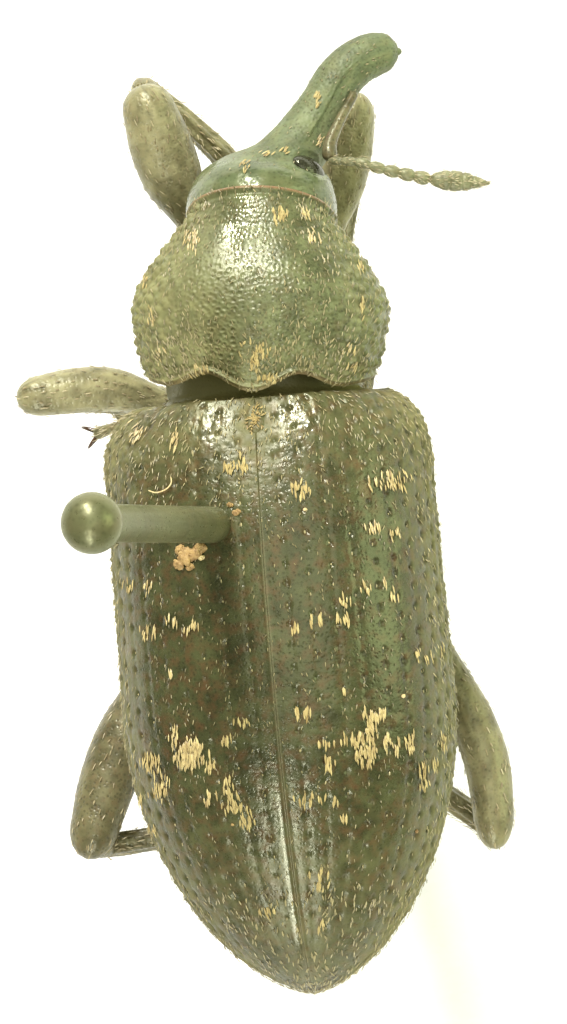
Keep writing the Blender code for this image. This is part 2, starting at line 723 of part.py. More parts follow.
def foot(leg, name, parent):
    """A tarsus: two short joints, the broad two-lobed one, and the claw joint with its two claws."""
    end, toe = Vector(leg["shin_end"]), Vector(leg["foot_end"])
    shin_way = unit(end - shin_root(leg))
    turn = shin_way.angle(toe - end)
    clear_of_side = SHIN_END_HALF * max(0, -1 / math.tan(turn))
    root = end + shin_way * (JOINT_GAP + FOOT_ROOT_HALF * math.sin(turn) + clear_of_side)
    profile = [
        (0.00, FOOT_ROOT_HALF, 0.16), (0.15, 0.24, 0.20), (0.20, 0.17, 0.16), (0.34, 0.26, 0.20), (0.39, 0.18, 0.16),
        (0.52, FOOT_LOBE_HALF, 0.18), (0.58, 0.14, 0.13), (0.76, 0.15, 0.14), (0.90, 0.19, 0.17), (1.00, 0.12, 0.11),
    ]
    sag = (root + toe) / 2 + Vector((0, 0, -0.06))
    line = smooth_line([root, sag, toe], [share for share, _, _ in profile])
    halves = [(across, rise) for _, across, rise in profile]
    lobes = [(5, degrees, 0.02, 0.22) for degrees in (0, 180)]
    claws = [(8, degrees, 0.10, 0.28) for degrees in (0, 180)]
    return limb(name, line, halves, (0, 0, 1), parent, 8, lobes + claws, last_out=0.04)


# Pin and block

def pin_place():
    """Where the pin leaves the back, in the world's frame, in millimetres."""
    back = -PIN_Y
    low = edge_height(back)
    half = case_half_width(back)
    turn = math.acos((abs(PIN_X) / half) ** (CASE_ROUNDNESS / 2))
    _, rise = arch(half, back_height(back) - low, turn, CASE_ROUNDNESS)
    body = Matrix.Translation((0, BODY_FORWARD, BODY_Z)) @ Matrix.Rotation(BODY_ROLL, 4, "Y")
    return body @ Vector((PIN_X, PIN_Y, low + rise))


def insect_pin():
    """A straight steel pin with a rounded head."""
    place = pin_place()
    top = place.z + PIN_ABOVE_BACK
    point = BLOCK_HEIGHT - PIN_SUNK
    middle = top - PIN_HEAD_HEIGHT / 2
    profile = [(0.0, point), (PIN_RADIUS, point + 1.2), (PIN_RADIUS, top - PIN_HEAD_HEIGHT)]
    for degrees in (-50, -25, 0, 25, 50, 72):
        lean = math.radians(degrees)
        profile.append((PIN_HEAD_RADIUS * math.cos(lean), middle + PIN_HEAD_HEIGHT / 2 * math.sin(lean)))
    profile.append((0.0, top))
    return turned("pin", profile, place)


def bore(name, low, high):
    """A round cutter about the pin's line, wider than the pin by the bore's gap."""
    radius = PIN_RADIUS + BORE_GAP
    return turned(name, [(0.0, low), (radius, low), (radius, high), (0.0, high)], pin_place())


def display_block():
    """The white block, with rounded corners and eased edges, and the hole that holds the pin."""
    shaped = bmesh.new()
    size = Matrix.Diagonal((BLOCK_WIDTH * MM, BLOCK_LENGTH * MM, BLOCK_HEIGHT * MM, 1))
    middle = Matrix.Translation((0, 0, BLOCK_HEIGHT / 2 * MM))
    bmesh.ops.create_cube(shaped, size=1, matrix=middle @ size)
    upright = [edge for edge in shaped.edges if abs(edge.verts[0].co.z - edge.verts[1].co.z) > MM]
    bmesh.ops.bevel(shaped, geom=upright, offset=BLOCK_CORNER * MM, segments=6, profile=0.5, affect="EDGES")
    rims = [edge for edge in shaped.edges if abs(edge.verts[0].co.z - edge.verts[1].co.z) < 0.01 * MM]
    bmesh.ops.bevel(shaped, geom=rims, offset=BLOCK_EDGE * MM, segments=3, profile=0.5, affect="EDGES")
    block = finish_piece(shaped, "stand_block", None)
    hole = bore("block_hole", BLOCK_HEIGHT - PIN_SUNK - 0.3, BLOCK_HEIGHT + 1)
    combine(block, "DIFFERENCE", [hole])
    return block


def main():
    clear_scene()
    body = make_frame("body_frame", None, (0, BODY_FORWARD, BODY_Z), (0, BODY_ROLL, 0))
    front = make_frame("prothorax_frame", body, (0, PRO_BASE_Y, 0), (0, 0, PRO_YAW))
    skull = make_frame("head_frame", body, HEAD_CENTRE, (0, HEAD_ROLL, 0))
    bpy.context.view_layer.update()

    thorax = chest(body)
    paint(thorax, "belly")
    for side, word in ((-1, "left"), (1, "right")):
        case = wing_case(side, "wing_case_" + word, body)
        if side * PIN_X > 0:
            for bored in (case, thorax):
                combine(bored, "DIFFERENCE", [bore("pin_hole", BODY_Z - 4, BODY_Z + 4)])
        paint(case, "back")
        paint(eye(side, "eye_" + word, skull), "eye")
        paint(feeler_shaft(side, "antenna_shaft_" + word, skull), "feeler")
        paint(feeler_whip(side, WHIPS[word], "antenna_whip_" + word, body), "feeler")
        paint(feeler_club(WHIPS[word], "antenna_club_" + word, body), "feeler")
    paint(abdomen(body), "belly")
    paint(prothorax(front, body), "prothorax")
    paint(head(skull, front), "head")
    paint(snout(skull), "head")
    for word, leg in LEGS.items():
        paint(thigh(leg, "thigh_" + word, body), "leg")
        paint(shin(leg, "shin_" + word, body), "leg")
        paint(foot(leg, "foot_" + word, body), "leg")
    paint(insect_pin(), "pin")
    paint(display_block(), "block")


main()
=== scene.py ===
"""Looks of the pinned weevil on its white display block: skins, scales, hairs, finishes, light and camera.

Shapes are worked out in millimetres in the body's own frame, as in the part: +Y forward, +X to the right of
a viewer who looks down on the back, +Z up, with the origin in the middle of the wing cases' base.
"""

import math

import bpy
import numpy as np
from mathutils import Matrix, Vector
from mathutils.bvhtree import BVHTree


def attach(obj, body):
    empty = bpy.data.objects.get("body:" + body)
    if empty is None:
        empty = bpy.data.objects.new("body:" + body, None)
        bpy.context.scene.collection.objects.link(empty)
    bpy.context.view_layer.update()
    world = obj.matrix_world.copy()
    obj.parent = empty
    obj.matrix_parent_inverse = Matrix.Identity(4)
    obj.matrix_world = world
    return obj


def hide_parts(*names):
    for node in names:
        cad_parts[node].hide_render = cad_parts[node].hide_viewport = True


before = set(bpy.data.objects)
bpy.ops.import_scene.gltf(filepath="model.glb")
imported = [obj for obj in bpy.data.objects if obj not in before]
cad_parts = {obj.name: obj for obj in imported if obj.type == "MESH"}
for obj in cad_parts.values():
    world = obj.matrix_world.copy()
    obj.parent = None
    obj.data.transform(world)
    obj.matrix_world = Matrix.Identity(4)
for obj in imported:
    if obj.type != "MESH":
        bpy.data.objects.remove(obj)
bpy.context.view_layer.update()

MM = 0.001
ROOT = "root"

# The body's place on its pin
BODY_PLACE = (0, 1.6, 13.6)
BODY_ROLL = math.radians(3.4)
PRO_PLACE = (0, 0.30, 0)
PRO_YAW = math.radians(-5.0)
HEAD_PLACE = (0.18, 2.49, -0.05)
HEAD_ROLL = math.radians(-68.0)

# The photo: its size and scale, where the body's origin lies in it, and how the body was turned to the lens
PHOTO_SIZE = (567, 1024)
PHOTO_SCALE = 0.0137
PHOTO_ORIGIN = (263.3, 397.0)
PHOTO_LEAN = math.radians(4.7)
SIDE_TILT = math.radians(5.5)
LENS_TILT = math.radians(8.9)
LENS_BEARING = math.radians(-6.1)
LENS_DISTANCE = 0.150
FOCUS_HEIGHT = 1.0
SENSOR_HEIGHT = 24.0

# Wing cases
CASE_LENGTH = 8.2
CASE_BASE_HALF = 1.62
CASE_SHOULDER_HALF = 2.26
CASE_WIDEST_HALF = 2.30
SHOULDER_END = 0.9
TAPER_START = 4.2
BACK_BASE_HEIGHT = 1.30
BACK_TOP_HEIGHT = 1.92
BACK_TOP_AT = 2.8
TIP_HEIGHT = -0.38
CASE_ROUNDNESS = 2.2
SEAM_HALF = 0.002
PUNCTURE_ROWS = 10
PUNCTURE_SPACING = 0.285
PUNCTURE_TABLE = 80
ROW_SKEW = 0.11
CASE_EVEN_LENGTH = 7.3
CASE_TIP_ROWS = 70
CASE_TIP_FULLNESS = 0.61
SCUTELLUM_CENTRE = (0.0, -0.30)
SCUTELLUM_HALVES = (0.15, 0.24)

# Underside
BELLY_DEPTH = 1.6
BELLY_ROUNDNESS = 2.3
PLATE_SEAMS = (3.2, 4.65, 5.75, 6.35, 6.90)

# Prothorax
PRO_LENGTH = 2.61
PRO_BASE_HALF = 1.54
PRO_WIDEST_HALF = 1.75
PRO_WIDEST_AT = 1.15
PRO_COLLAR_HALF = 1.02
PRO_COLLAR_LENGTH = 0.18
PRO_TOP_HEIGHT = 1.40
PRO_BOTTOM_HEIGHT = -1.12
PRO_LEAN = 0.70
PRO_ROUNDNESS = 2.15

# Head and snout in the head's frame: (y, z) of a ring's middle, the way it faces, its half width and its
# half height
HEAD_RINGS = (
    ((-0.62, 0.00), (1.00, 0.00), 0.84, 0.84),
    ((-0.10, 0.00), (1.00, 0.00), 1.03, 1.03),
    ((0.25, 0.00), (1.00, 0.00), 1.03, 1.03),
    ((0.48, -0.02), (1.00, -0.02), 0.97, 0.96),
    ((0.61, -0.08), (0.99, -0.12), 0.87, 0.86),
    ((0.69, -0.19), (0.96, -0.26), 0.70, 0.70),
    ((0.79, -0.40), (0.90, -0.43), 0.54, 0.50),
    ((0.96, -0.61), (0.83, -0.56), 0.44, 0.435),
    ((1.18, -0.80), (0.78, -0.62), 0.385, 0.395),
    ((1.47, -1.02), (0.76, -0.65), 0.34, 0.355),
    ((1.84, -1.27), (0.68, -0.73), 0.325, 0.33),
    ((2.07, -1.56), (0.46, -0.89), 0.315, 0.315),
    ((2.17, -1.88), (0.12, -1.00), 0.285, 0.290),
    ((2.18, -2.03), (0.04, -1.00), 0.235, 0.235),
    ((2.18, -2.12), (0.02, -1.00), 0.14, 0.13),
)
EYE_DIRECTION = (0.58, 0.65, -0.60)
EYE_DEPTH = 0.99
EYE_HALVES = (0.20, 0.28, 0.14)

# Feelers: the shaft in the head's frame, the whip and the club in the body's
SHAFT_KNOTS = ((0.30, 1.64, -1.40), (0.45, 1.30, -1.13), (0.55, 0.96, -0.91), (0.65, 0.70, -0.84))
WHIPS = {
    "right": dict(bend=(2.00, 2.98, 0.44), neck=(2.56, 2.81, 0.34), tip=(3.38, 2.69, 0.20)),
    "left": dict(bend=(0.50, 3.44, -1.95), neck=(0.62, 3.68, -2.55), tip=(0.86, 4.00, -3.30)),
}
WHIP_BEADS = 7

# Legs, as in the part: coxa, the way the thigh leaves it, a point on it, knee, side of the fold, ends
# Each leg's dust is partly dust and partly painted light, which makes some legs paler than others.
LEGS = {
    "front_left": dict(
        coxa=(-0.42, 1.75, -1.12), out=(-0.34, 0.40, -0.85), bow=(-1.13, 3.10, -1.62),
        knee=(-1.44, 4.40, -1.22), fold=(0.05, 0.0, -1.0), shin_end=(-0.08, 2.90, -2.60),
        foot_end=(-0.35, 1.45, -3.05), half=0.44, knee_half=0.34, shin_back=0.12, dust=0.34,
    ),
    "front_right": dict(
        coxa=(0.44, 1.62, -1.12), out=(0.30, 0.30, -0.90), bow=(1.07, 2.80, -2.10),
        knee=(1.45, 4.08, -1.80), fold=(0.0, 0.0, -1.0), shin_end=(0.72, 1.85, -3.78),
        foot_end=(-0.10, 0.80, -3.92), half=0.36, knee_half=0.28, shin_back=0.36, dust=0.34,
    ),
    "middle_left": dict(
        coxa=(-0.72, -0.25, -1.42), out=(-0.62, 0.20, -0.75), bow=(-2.30, 0.36, -1.80),
        knee=(-3.46, 0.34, -1.50), fold=(0.0, 0.0, -1.0), shin_end=(-1.55, 0.10, -3.42),
        foot_end=(-2.88, -0.20, -4.05), half=0.32, knee_half=0.27, shin_back=0.26, dust=0.38,
    ),
    "middle_right": dict(
        coxa=(0.72, -0.25, -1.42), out=(0.20, 0.10, -0.97), bow=(0.94, 0.35, -2.80),
        knee=(1.08, 1.00, -3.65), fold=(0.0, -1.0, -0.4), shin_end=(0.88, -1.10, -3.95),
        foot_end=(0.82, -2.55, -4.05), half=0.31, knee_half=0.25, shin_back=0.26, dust=0.10,
    ),
    "hind_left": dict(
        coxa=(-1.20, -2.78, -1.28), out=(-0.55, -0.20, -0.81), bow=(-2.68, -4.80, -1.95),
        knee=(-3.12, -6.02, -1.70), fold=(0.36, 0.0, -0.93), shin_end=(-0.75, -5.62, -2.65),
        foot_end=(-0.45, -4.15, -3.00), half=0.41, knee_half=0.33, shin_back=0.22, dust=0.03,
    ),
    "hind_right": dict(
        coxa=(1.20, -2.78, -1.28), out=(0.50, -0.25, -0.83), bow=(2.45, -5.00, -2.05),
        knee=(2.54, -6.34, -1.98), fold=(-0.20, 0.0, -0.98), shin_end=(0.88, -4.68, -2.85),
        foot_end=(0.80, -3.15, -3.15), half=0.32, knee_half=0.27, shin_back=0.24, dust=0.24,
    ),
}
COXA_RADIUS = 0.40
HIND_COXA_HALVES = (0.66, 0.30, 0.40)
HIP_BEND = 0.28
THIGH_INSIDE = 0.30
THIGH_ROOT_HALF = 0.21
JOINT_GAP = 0.2
SHIN_ROOT_HALF = 0.19

# Scales: how far they lie above the skin, how far their roots sink again, and how their paleness varies
SCALE_LIFT = 0.010
SCALE_SINK = 0.006
SHADE_SPREAD = 0.22

# One scale: the least and the spread of its sizes, its rings as (share of length, share of width), its
# ridge's share of the width, its faces, and its patch of the unwrap
SCALE_VARIETY = ((0.65, 0.7), (0.75, 0.5), (0.4, 1.2))
SCALE_RINGS = ((0.3, 1.0), (0.72, 0.85))
SCALE_RIDGE = 0.3
SCALE_FACES = (
    (0, 1, 2), (0, 2, 3), (0, 3, 1), (1, 4, 5, 2), (2, 5, 6, 3), (3, 6, 4, 1),
    (4, 7, 5), (5, 7, 6), (6, 7, 4),
)
SCALE_PATCH = ((0, 0), (-1, 1), (0, 1), (1, 1), (-1, 2), (0, 2), (1, 2), (0, 3))
SCALE_POINTS = len(SCALE_PATCH)
PATCH_STEP = 0.0010

# Kinds of scale and hair: length, width, how far the tip stands off, how far they turn aside, paleness
SCALES = {
    "scutellum": (0.060, 0.020, 0.012, 0.5, 0.30),
    "back clump": (0.130, 0.026, 0.02, 0.12, 0.60),
    "base": (0.085, 0.012, 0.02, 0.35, 0.62),
    "back": (0.060, 0.014, 0.010, 0.30, 0.15),
    "flank": (0.085, 0.020, 0.02, 0.30, 0.5),
    "tip": (0.09, 0.020, 0.02, 0.3, 0.5),
    "puncture": (0.050, 0.022, 0.0, 0.15, 0.55),
    "chest clump": (0.105, 0.026, 0.02, 0.20, 0.62),
    "head clump": (0.095, 0.024, 0.02, 0.20, 0.55),
    "chest": (0.060, 0.014, 0.012, 0.35, 0.35),
    "chest flank": (0.080, 0.019, 0.02, 0.30, 0.5),
    "chest hind": (0.085, 0.018, 0.02, 0.30, 0.55),
    "chest round": (0.07, 0.016, 0.02, 0.4, 0.4),
    "head": (0.050, 0.013, 0.01, 0.35, 0.35),
    "belly": (0.09, 0.020, 0.02, 0.3, 0.45),
    "hip hair": (0.085, 0.018, 0.01, 0.5, 0.35),
    "thigh hair": (0.095, 0.019, 0.015, 0.20, 0.35),
    "shin hair": (0.10, 0.016, 0.04, 0.22, 0.4),
    "shin fringe": (0.16, 0.016, 0.06, 0.3, 0.7),
    "foot hair": (0.10, 0.013, 0.05, 0.3, 0.6),
    "feeler hair": (0.06, 0.009, 0.03, 0.25, 0.6),
}

# Outlines of the feeler's club and of the shin as (share of length, share of thickness or half width)
CLUB_OUTLINE = ((0, 0.08, 0.25, 0.42, 0.62, 0.82, 0.95, 1), (0.25, 0.62, 0.95, 1.0, 0.86, 0.50, 0.2, 0.03))
CLUB_SEAMS = (0.34, 0.55, 0.72)
CLUB_HALF = 0.145
SHIN_OUTLINE = ((0, 0.06, 0.14, 0.24, 0.5, 0.75, 0.92, 1), (0.12, 0.16, 0.18, 0.19, 0.18, 0.20, 0.25, 0.23))

# Foot joints: first and last share of the foot's line, half width at both, height
FOOT_WEDGES = ((0.03, 0.27, 0.085, 0.20, 0.11), (0.25, 0.45, 0.09, 0.215, 0.105))

# Rows on each side from which a skin's lengthwise way is taken, and tries for one random place
WAY_ROWS = 6
TRIES = 30

# Number fields: sizes of their tables, and where a lattice point may lie in its cell
CELL_TABLE = 61
RIPPLE_TABLE = 67
LATTICE_MARGIN = 0.15
LATTICE_PLAY = 0.7

# Studio: floor, sky, and lamps as name, direction from the body, distance, width and height, watts, colour
FLOOR_HALF = 0.6
FLOOR_COLOUR = (0.87, 0.87, 0.85)
FLOOR_ROUGHNESS = 0.7
SKY_COLOUR = (0.98, 1.0, 0.72)
SKY_STRENGTH = 0.36
STRIP_LAMP_WIDTH = 0.02
LAMPS = (
    ("low_front_light", (-0.16, 0.87, 0.46), 0.30, (0.026, 0.070), 0.80, (1.0, 1.0, 0.94)),
    ("high_front_light", (-0.03, 0.70, 0.74), 0.30, (0.040, 0.035), 0.80, (1.0, 0.95, 1.0)),
    ("rear_light", (-0.10, -0.80, 0.60), 0.30, (0.012, 0.300), 0.85, (1.0, 0.99, 0.98)),
    ("overhead_light", (0.25, 0.10, 1.0), 0.40, (0.30, 0.30), 0.45, (1.0, 1.0, 0.90)),
    ("side_light", (0.95, 0.10, 0.35), 0.30, (0.20, 0.20), 0.42, (0.86, 1.0, 0.62)),
)

# Pin and block. The depths in the block are those of the pin's point, its taper and its full width
PIN_RADIUS = 0.25
PIN_HEAD_RADIUS = 0.40
PIN_HEAD_HEIGHT = 0.76
PIN_ABOVE_BACK = 10.0
PIN_X = -0.66
PIN_Y = -1.70
PIN_POINT_RADIUS = 0.006
PIN_TAPER = 0.6
PIN_DEPTHS = (3.9, 3.2, 2.6)
BLOCK_HEIGHT = 5.0

# Clumps of scales seen in the photo, in its pixels: middle, half sizes, number of scales
BACK_CLUMPS = (
    (190, 757, 16, 15, 120), (150, 764, 11, 12, 42), (174, 737, 5, 9, 16), (162, 789, 9, 11, 38),
    (143, 801, 4, 6, 10), (212, 766, 4, 8, 12), (210, 798, 6, 6, 12), (233, 804, 10, 8, 24),
    (247, 821, 7, 9, 18), (226, 739, 5, 6, 9), (243, 723, 9, 3, 7), (228, 786, 5, 6, 10),
    (154, 829, 4, 5, 7), (297, 715, 3, 6, 7), (307, 713, 3, 7, 8), (375, 715, 11, 5, 26),
    (371, 731, 5, 13, 34), (356, 741, 11, 6, 28), (366, 755, 10, 11, 52), (387, 744, 4, 11, 15),
    (398, 748, 3, 10, 9), (410, 744, 5, 11, 22), (423, 777, 5, 16, 26), (434, 765, 3, 7, 7),
    (444, 743, 3, 7, 8), (328, 745, 9, 3, 10), (330, 765, 9, 7, 13), (313, 801, 12, 5, 14),
    (336, 803, 3, 4, 5), (345, 820, 4, 2, 4), (295, 630, 6, 3, 7), (311, 621, 2, 5, 5), (321, 622, 2, 7, 6),
    (339, 620, 3, 3, 4), (348, 619, 3, 6, 8), (368, 589, 5, 5, 7), (385, 584, 2, 5, 4), (395, 596, 5, 6, 8),
    (344, 601, 6, 5, 8), (417, 656, 3, 6, 6), (428, 659, 4, 5, 7), (441, 652, 3, 5, 5), (345, 692, 3, 2, 4),
    (149, 633, 7, 6, 12), (191, 628, 9, 4, 9), (172, 622, 6, 5, 6), (148, 588, 4, 7, 9), (129, 586, 6, 6, 8),
    (170, 676, 4, 3, 5), (322, 880, 9, 10, 14), (321, 926, 3, 7, 6), (266, 913, 12, 4, 12),
    (392, 482, 20, 9, 40), (371, 528, 8, 5, 12), (395, 533, 6, 5, 8), (245, 467, 5, 8, 14),
    (136, 433, 7, 10, 16), (175, 443, 4, 12, 14), (302, 490, 10, 8, 22), (229, 470, 6, 7, 12),
)
CHEST_CLUMPS = (
    (192, 241, 7, 9, 26), (279, 213, 8, 7, 20), (304, 216, 5, 6, 12), (312, 237, 6, 6, 18),
    (146, 281, 3, 8, 9), (151, 317, 3, 9, 12), (359, 264, 4, 6, 8), (361, 306, 3, 10, 12),
    (254, 365, 5, 7, 12), (268, 380, 12, 5, 22), (351, 365, 6, 5, 8), (252, 350, 16, 9, 26),
    (205, 372, 14, 7, 16), (160, 352, 6, 9, 10), (348, 348, 5, 8, 8),
)
HEAD_CLUMPS = (
    (317, 97, 4, 7, 12), (318, 140, 4, 4, 9), (268, 153, 6, 3, 8), (245, 164, 4, 6, 12), (285, 150, 3, 3, 5),
)
CRUMBS = (
    # pixel of the photo, size in millimetres, flatness, finish
    ((187, 557), 0.27, 0.45, "tissue"), ((197, 551), 0.19, 0.6, "tissue"), ((180, 565), 0.15, 0.6, "tissue"),
    ((190, 568), 0.11, 0.7, "tissue"), ((201, 559), 0.09, 0.7, "husk"), ((180, 551), 0.12, 0.6, "tissue"),
    ((236, 513), 0.10, 0.6, "tissue"), ((229, 506), 0.07, 0.7, "tissue"), ((221, 538), 0.05, 0.7, "tissue"),
    ((404, 697), 0.055, 0.8, "husk"), ((417, 831), 0.060, 0.6, "tissue"), ((232, 825), 0.040, 0.6, "tissue"),
    ((306, 510), 0.055, 0.7, "husk"),
)
STRAY_HAIR = ((150, 491), (158, 494), (167, 491), (172, 484), (172, 478))

draw = np.random.default_rng(11)


# Frames

def placed(parent, place, turn, axis):
    return parent @ Matrix.Translation(Vector(place) * MM) @ Matrix.Rotation(turn, 4, axis)


BODY = placed(Matrix.Identity(4), BODY_PLACE, BODY_ROLL, "Y")
PROTHORAX = placed(BODY, PRO_PLACE, PRO_YAW, "Z")
HEAD = placed(BODY, HEAD_PLACE, HEAD_ROLL, "Y")


def to_world(points, place):
    """Points in millimetres in a frame, as metres in the world."""
    turned = np.asarray(points) @ np.array(place.to_3x3()).T
    return turned * MM + np.array(place.translation)


# Camera, and the ray through a pixel of the photo

def lens_axes():
    """The camera's right, up and backward directions."""
    aside, rise = math.sin(LENS_TILT), math.cos(LENS_TILT)
    back = Vector((aside * math.cos(LENS_BEARING), aside * math.sin(LENS_BEARING), rise))
    level = (Vector((0, 1, 0)) - back * back.y).normalized()
    up = level * math.cos(PHOTO_LEAN) + level.cross(back) * math.sin(PHOTO_LEAN)
    return up.cross(back), up, back


def lens_target():
    """The point of the body that lies in the middle of the photo, in the world."""
    right = (PHOTO_SIZE[0] / 2 - PHOTO_ORIGIN[0]) * PHOTO_SCALE
    up = (PHOTO_ORIGIN[1] - PHOTO_SIZE[1] / 2) * PHOTO_SCALE
    across = math.cos(PHOTO_LEAN) * right + math.sin(PHOTO_LEAN) * up
    forward = math.cos(PHOTO_LEAN) * up - math.sin(PHOTO_LEAN) * right
    x = (across + FOCUS_HEIGHT * math.sin(SIDE_TILT)) / math.cos(SIDE_TILT)
    return BODY @ (Vector((x, forward, FOCUS_HEIGHT)) * MM)


def camera():
    right, up, back = lens_axes()
    lens = bpy.data.cameras.new("camera")
    lens.sensor_fit = "VERTICAL"
    lens.sensor_height = SENSOR_HEIGHT
    lens.lens = SENSOR_HEIGHT * LENS_DISTANCE / (PHOTO_SIZE[1] * PHOTO_SCALE * MM)
    lens.clip_start = 0.01
    view = bpy.data.objects.new("camera", lens)
    place = Matrix((right, up, back)).transposed().to_4x4()
    place.translation = lens_target() + back * LENS_DISTANCE
    view.matrix_world = place
    bpy.context.scene.collection.objects.link(view)
    bpy.context.scene.camera = view


def photo_ray(pixel):
    """Where the ray through a pixel of the photo starts, and its direction."""
    right, up, back = lens_axes()
    across = (pixel[0] - PHOTO_SIZE[0] / 2) * PHOTO_SCALE * MM
    rise = (PHOTO_SIZE[1] / 2 - pixel[1]) * PHOTO_SCALE * MM
    start = lens_target() + back * LENS_DISTANCE
    return start, (lens_target() + right * across + up * rise - start).normalized()


# Number fields over a surface

def soft_step(low, high, value):
    share = np.clip((value - low) / (high - low), 0, 1)
    return share * share * (3 - 2 * share)


def cells(u, v, size, seed):
    """Distance to the nearest point of a jittered lattice, in cells, and that point's own random number."""
    table = np.random.default_rng(seed).random((CELL_TABLE, CELL_TABLE, 3))
    u, v = np.broadcast_arrays(u / size, v / size)
    column, row = np.floor(u).astype(int), np.floor(v).astype(int)
    best = np.full(u.shape, 9.0)
    tag = np.zeros(u.shape)
    for i in (-1, 0, 1):
        for j in (-1, 0, 1):
            cell = table[(column + i) % CELL_TABLE, (row + j) % CELL_TABLE]
            away = np.hypot(
                u - column - i - LATTICE_MARGIN - LATTICE_PLAY * cell[..., 0],
                v - row - j - LATTICE_MARGIN - LATTICE_PLAY * cell[..., 1],
            )
            tag = np.where(away < best, cell[..., 2], tag)
            best = np.minimum(best, away)
    return best, tag


def ripple(u, v, size, seed):
    """Smooth noise from -1 to 1 with features of about the given size."""
    table = np.random.default_rng(seed).random((RIPPLE_TABLE, RIPPLE_TABLE)) * 2 - 1
    u, v = np.broadcast_arrays(u / size, v / size)
    column, row = np.floor(u).astype(int), np.floor(v).astype(int)
    a, b = soft_step(0, 1, u - column), soft_step(0, 1, v - row)
    corner = [table[(column + i) % RIPPLE_TABLE, (row + j) % RIPPLE_TABLE] for i in (0, 1) for j in (0, 1)]
    return (corner[0] * (1 - a) + corner[2] * a) * (1 - b) + (corner[1] * (1 - a) + corner[3] * a) * b


def speckles(u, v, size, seed):
    """Smooth noise from 0 to 1."""
    return ripple(u, v, size, seed) * 0.5 + 0.5


def bump(away, reach):
    """1 at a point, falling smoothly to 0 at reach."""
    return np.clip(1 - (away / reach) ** 2, 0, 1) ** 2


def grains(u, v, size, seed, reach, least=0.4, rare=None):
    """Rounded grains on a jittered lattice, from least to 1 high, or only the ones past rare."""
    away, tag = cells(u, v, size, seed)
    if rare is None:
        return bump(away, reach) * (least + (1 - least) * tag)
    return bump(away, reach) * (tag > rare)


def ridge(away, half):
    """1 along a line, falling to 0 on both sides of it."""
    return np.exp(-((away / half) ** 2))


# Meshes from grids of points

def outward_of(grid, wrap):
    """Unit normals of a grid of points (rows, columns, xyz), outward where its rows turn as a tube's do."""
    along = np.gradient(grid, axis=0)
    if wrap:
        across = (np.roll(grid, -1, 1) - np.roll(grid, 1, 1)) / 2
    else:
        across = np.gradient(grid, axis=1)
    normal = np.cross(along, across)
    normal /= np.linalg.norm(normal, axis=2, keepdims=True) + 1e-12
    return normal


def raised(grid, heights, wrap, sign):
    return grid + outward_of(grid, wrap) * sign * heights[..., None]


def even_rows(grid, columns):
    """Each row resampled at even steps of its own length. Also the rows' lengths."""
    steps = np.linalg.norm(np.diff(grid, axis=1), axis=2)
    travelled = np.concatenate([np.zeros((len(grid), 1)), np.cumsum(steps, axis=1)], axis=1)
    lengths = travelled[:, -1]
    shares = np.linspace(0, 1, columns)
    rows = []
    for row, run, length in zip(grid, travelled, lengths):
        rows.append([np.interp(shares * length, run, row[:, k]) for k in range(3)])
    return np.array(rows).transpose(0, 2, 1), lengths[:, None]


def grid_faces(rows, columns, wrap, first=0):
    """Quads over a grid of vertices numbered row by row."""
    numbers = np.arange(rows * columns).reshape(rows, columns) + first
    right = np.roll(numbers, -1, 1) if wrap else numbers[:, 1:]
    left = numbers if wrap else numbers[:, :-1]
    return np.stack([left[:-1], right[:-1], right[1:], left[1:]], axis=-1).reshape(-1, 4)


class Shell:
    """Vertices and faces that grow piece by piece into one mesh, in the world's metres."""

    def __init__(self):
        self.points = []
        self.faces = []
        self.marks = {}
        self.count = 0

    def grid(self, grid, place, wrap=True, caps=(True, True), **marks):
        """Adds a grid in millimetres; a cap closes its first or last row with a fan."""
        rows, columns = grid.shape[:2]
        faces = grid_faces(rows, columns, wrap, self.count).tolist()
        points = [grid.reshape(-1, 3)]
        extra = self.count + rows * columns
        for row, wanted, turn in ((0, caps[0], 1), (rows - 1, caps[1], -1)):
            if wanted:
                points.append(grid[row].mean(0)[None])
                ring = self.count + row * columns + np.arange(columns)
                pairs = zip(ring, np.roll(ring, -1)) if wrap else zip(ring, ring[1:])
                faces += [[int(b), int(a), extra][::turn] for a, b in pairs]
                extra += 1
        points = np.concatenate(points)
        if signed_volume(points, faces, self.count) < 0:
            faces = [face[::-1] for face in faces]
        self.points.append(to_world(points, place))
        self.faces += faces
        for name, values in marks.items():
            values = np.broadcast_to(values, (rows, columns)).ravel()
            padded = np.concatenate([values, np.full(len(points) - len(values), values[-1])])
            self.marks.setdefault(name, []).append((self.count, padded))
        self.count += len(points)
        return self

    def piece(self, name, finish, slot, replaced=()):
        mesh = bpy.data.meshes.new(name)
        mesh.from_pydata(np.concatenate(self.points).tolist(), [], self.faces)
        for mark, runs in self.marks.items():
            values = np.zeros(self.count)
            for first, run in runs:
                values[first:first + len(run)] = run
            mesh.attributes.new(mark, "FLOAT", "POINT").data.foreach_set("value", values)
        mesh.shade_smooth()
        return shown(name, mesh, finish, replaced)


def signed_volume(points, faces, first):
    """The volume inside faces of three or four corners, negative where they face inward."""
    total = 0.0
    for size in (3, 4):
        some = np.array([face for face in faces if len(face) == size])
        if len(some):
            corners = points[some - first] - points.mean(0)
            for k in range(1, size - 1):
                total += np.einsum("ij,ij->", corners[:, 0], np.cross(corners[:, k], corners[:, k + 1]))
    return total


def shown(name, mesh, finish, replaced=()):
    """An object of the mesh that rides on the body, takes its finish and stands for the CAD nodes named."""
    piece = bpy.data.objects.new(name, mesh)
    bpy.context.scene.collection.objects.link(piece)
    mesh.materials.append(finishes[finish])
    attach(piece, ROOT)
    if replaced:
        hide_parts(*replaced)
    return piece


# Lines and tubes

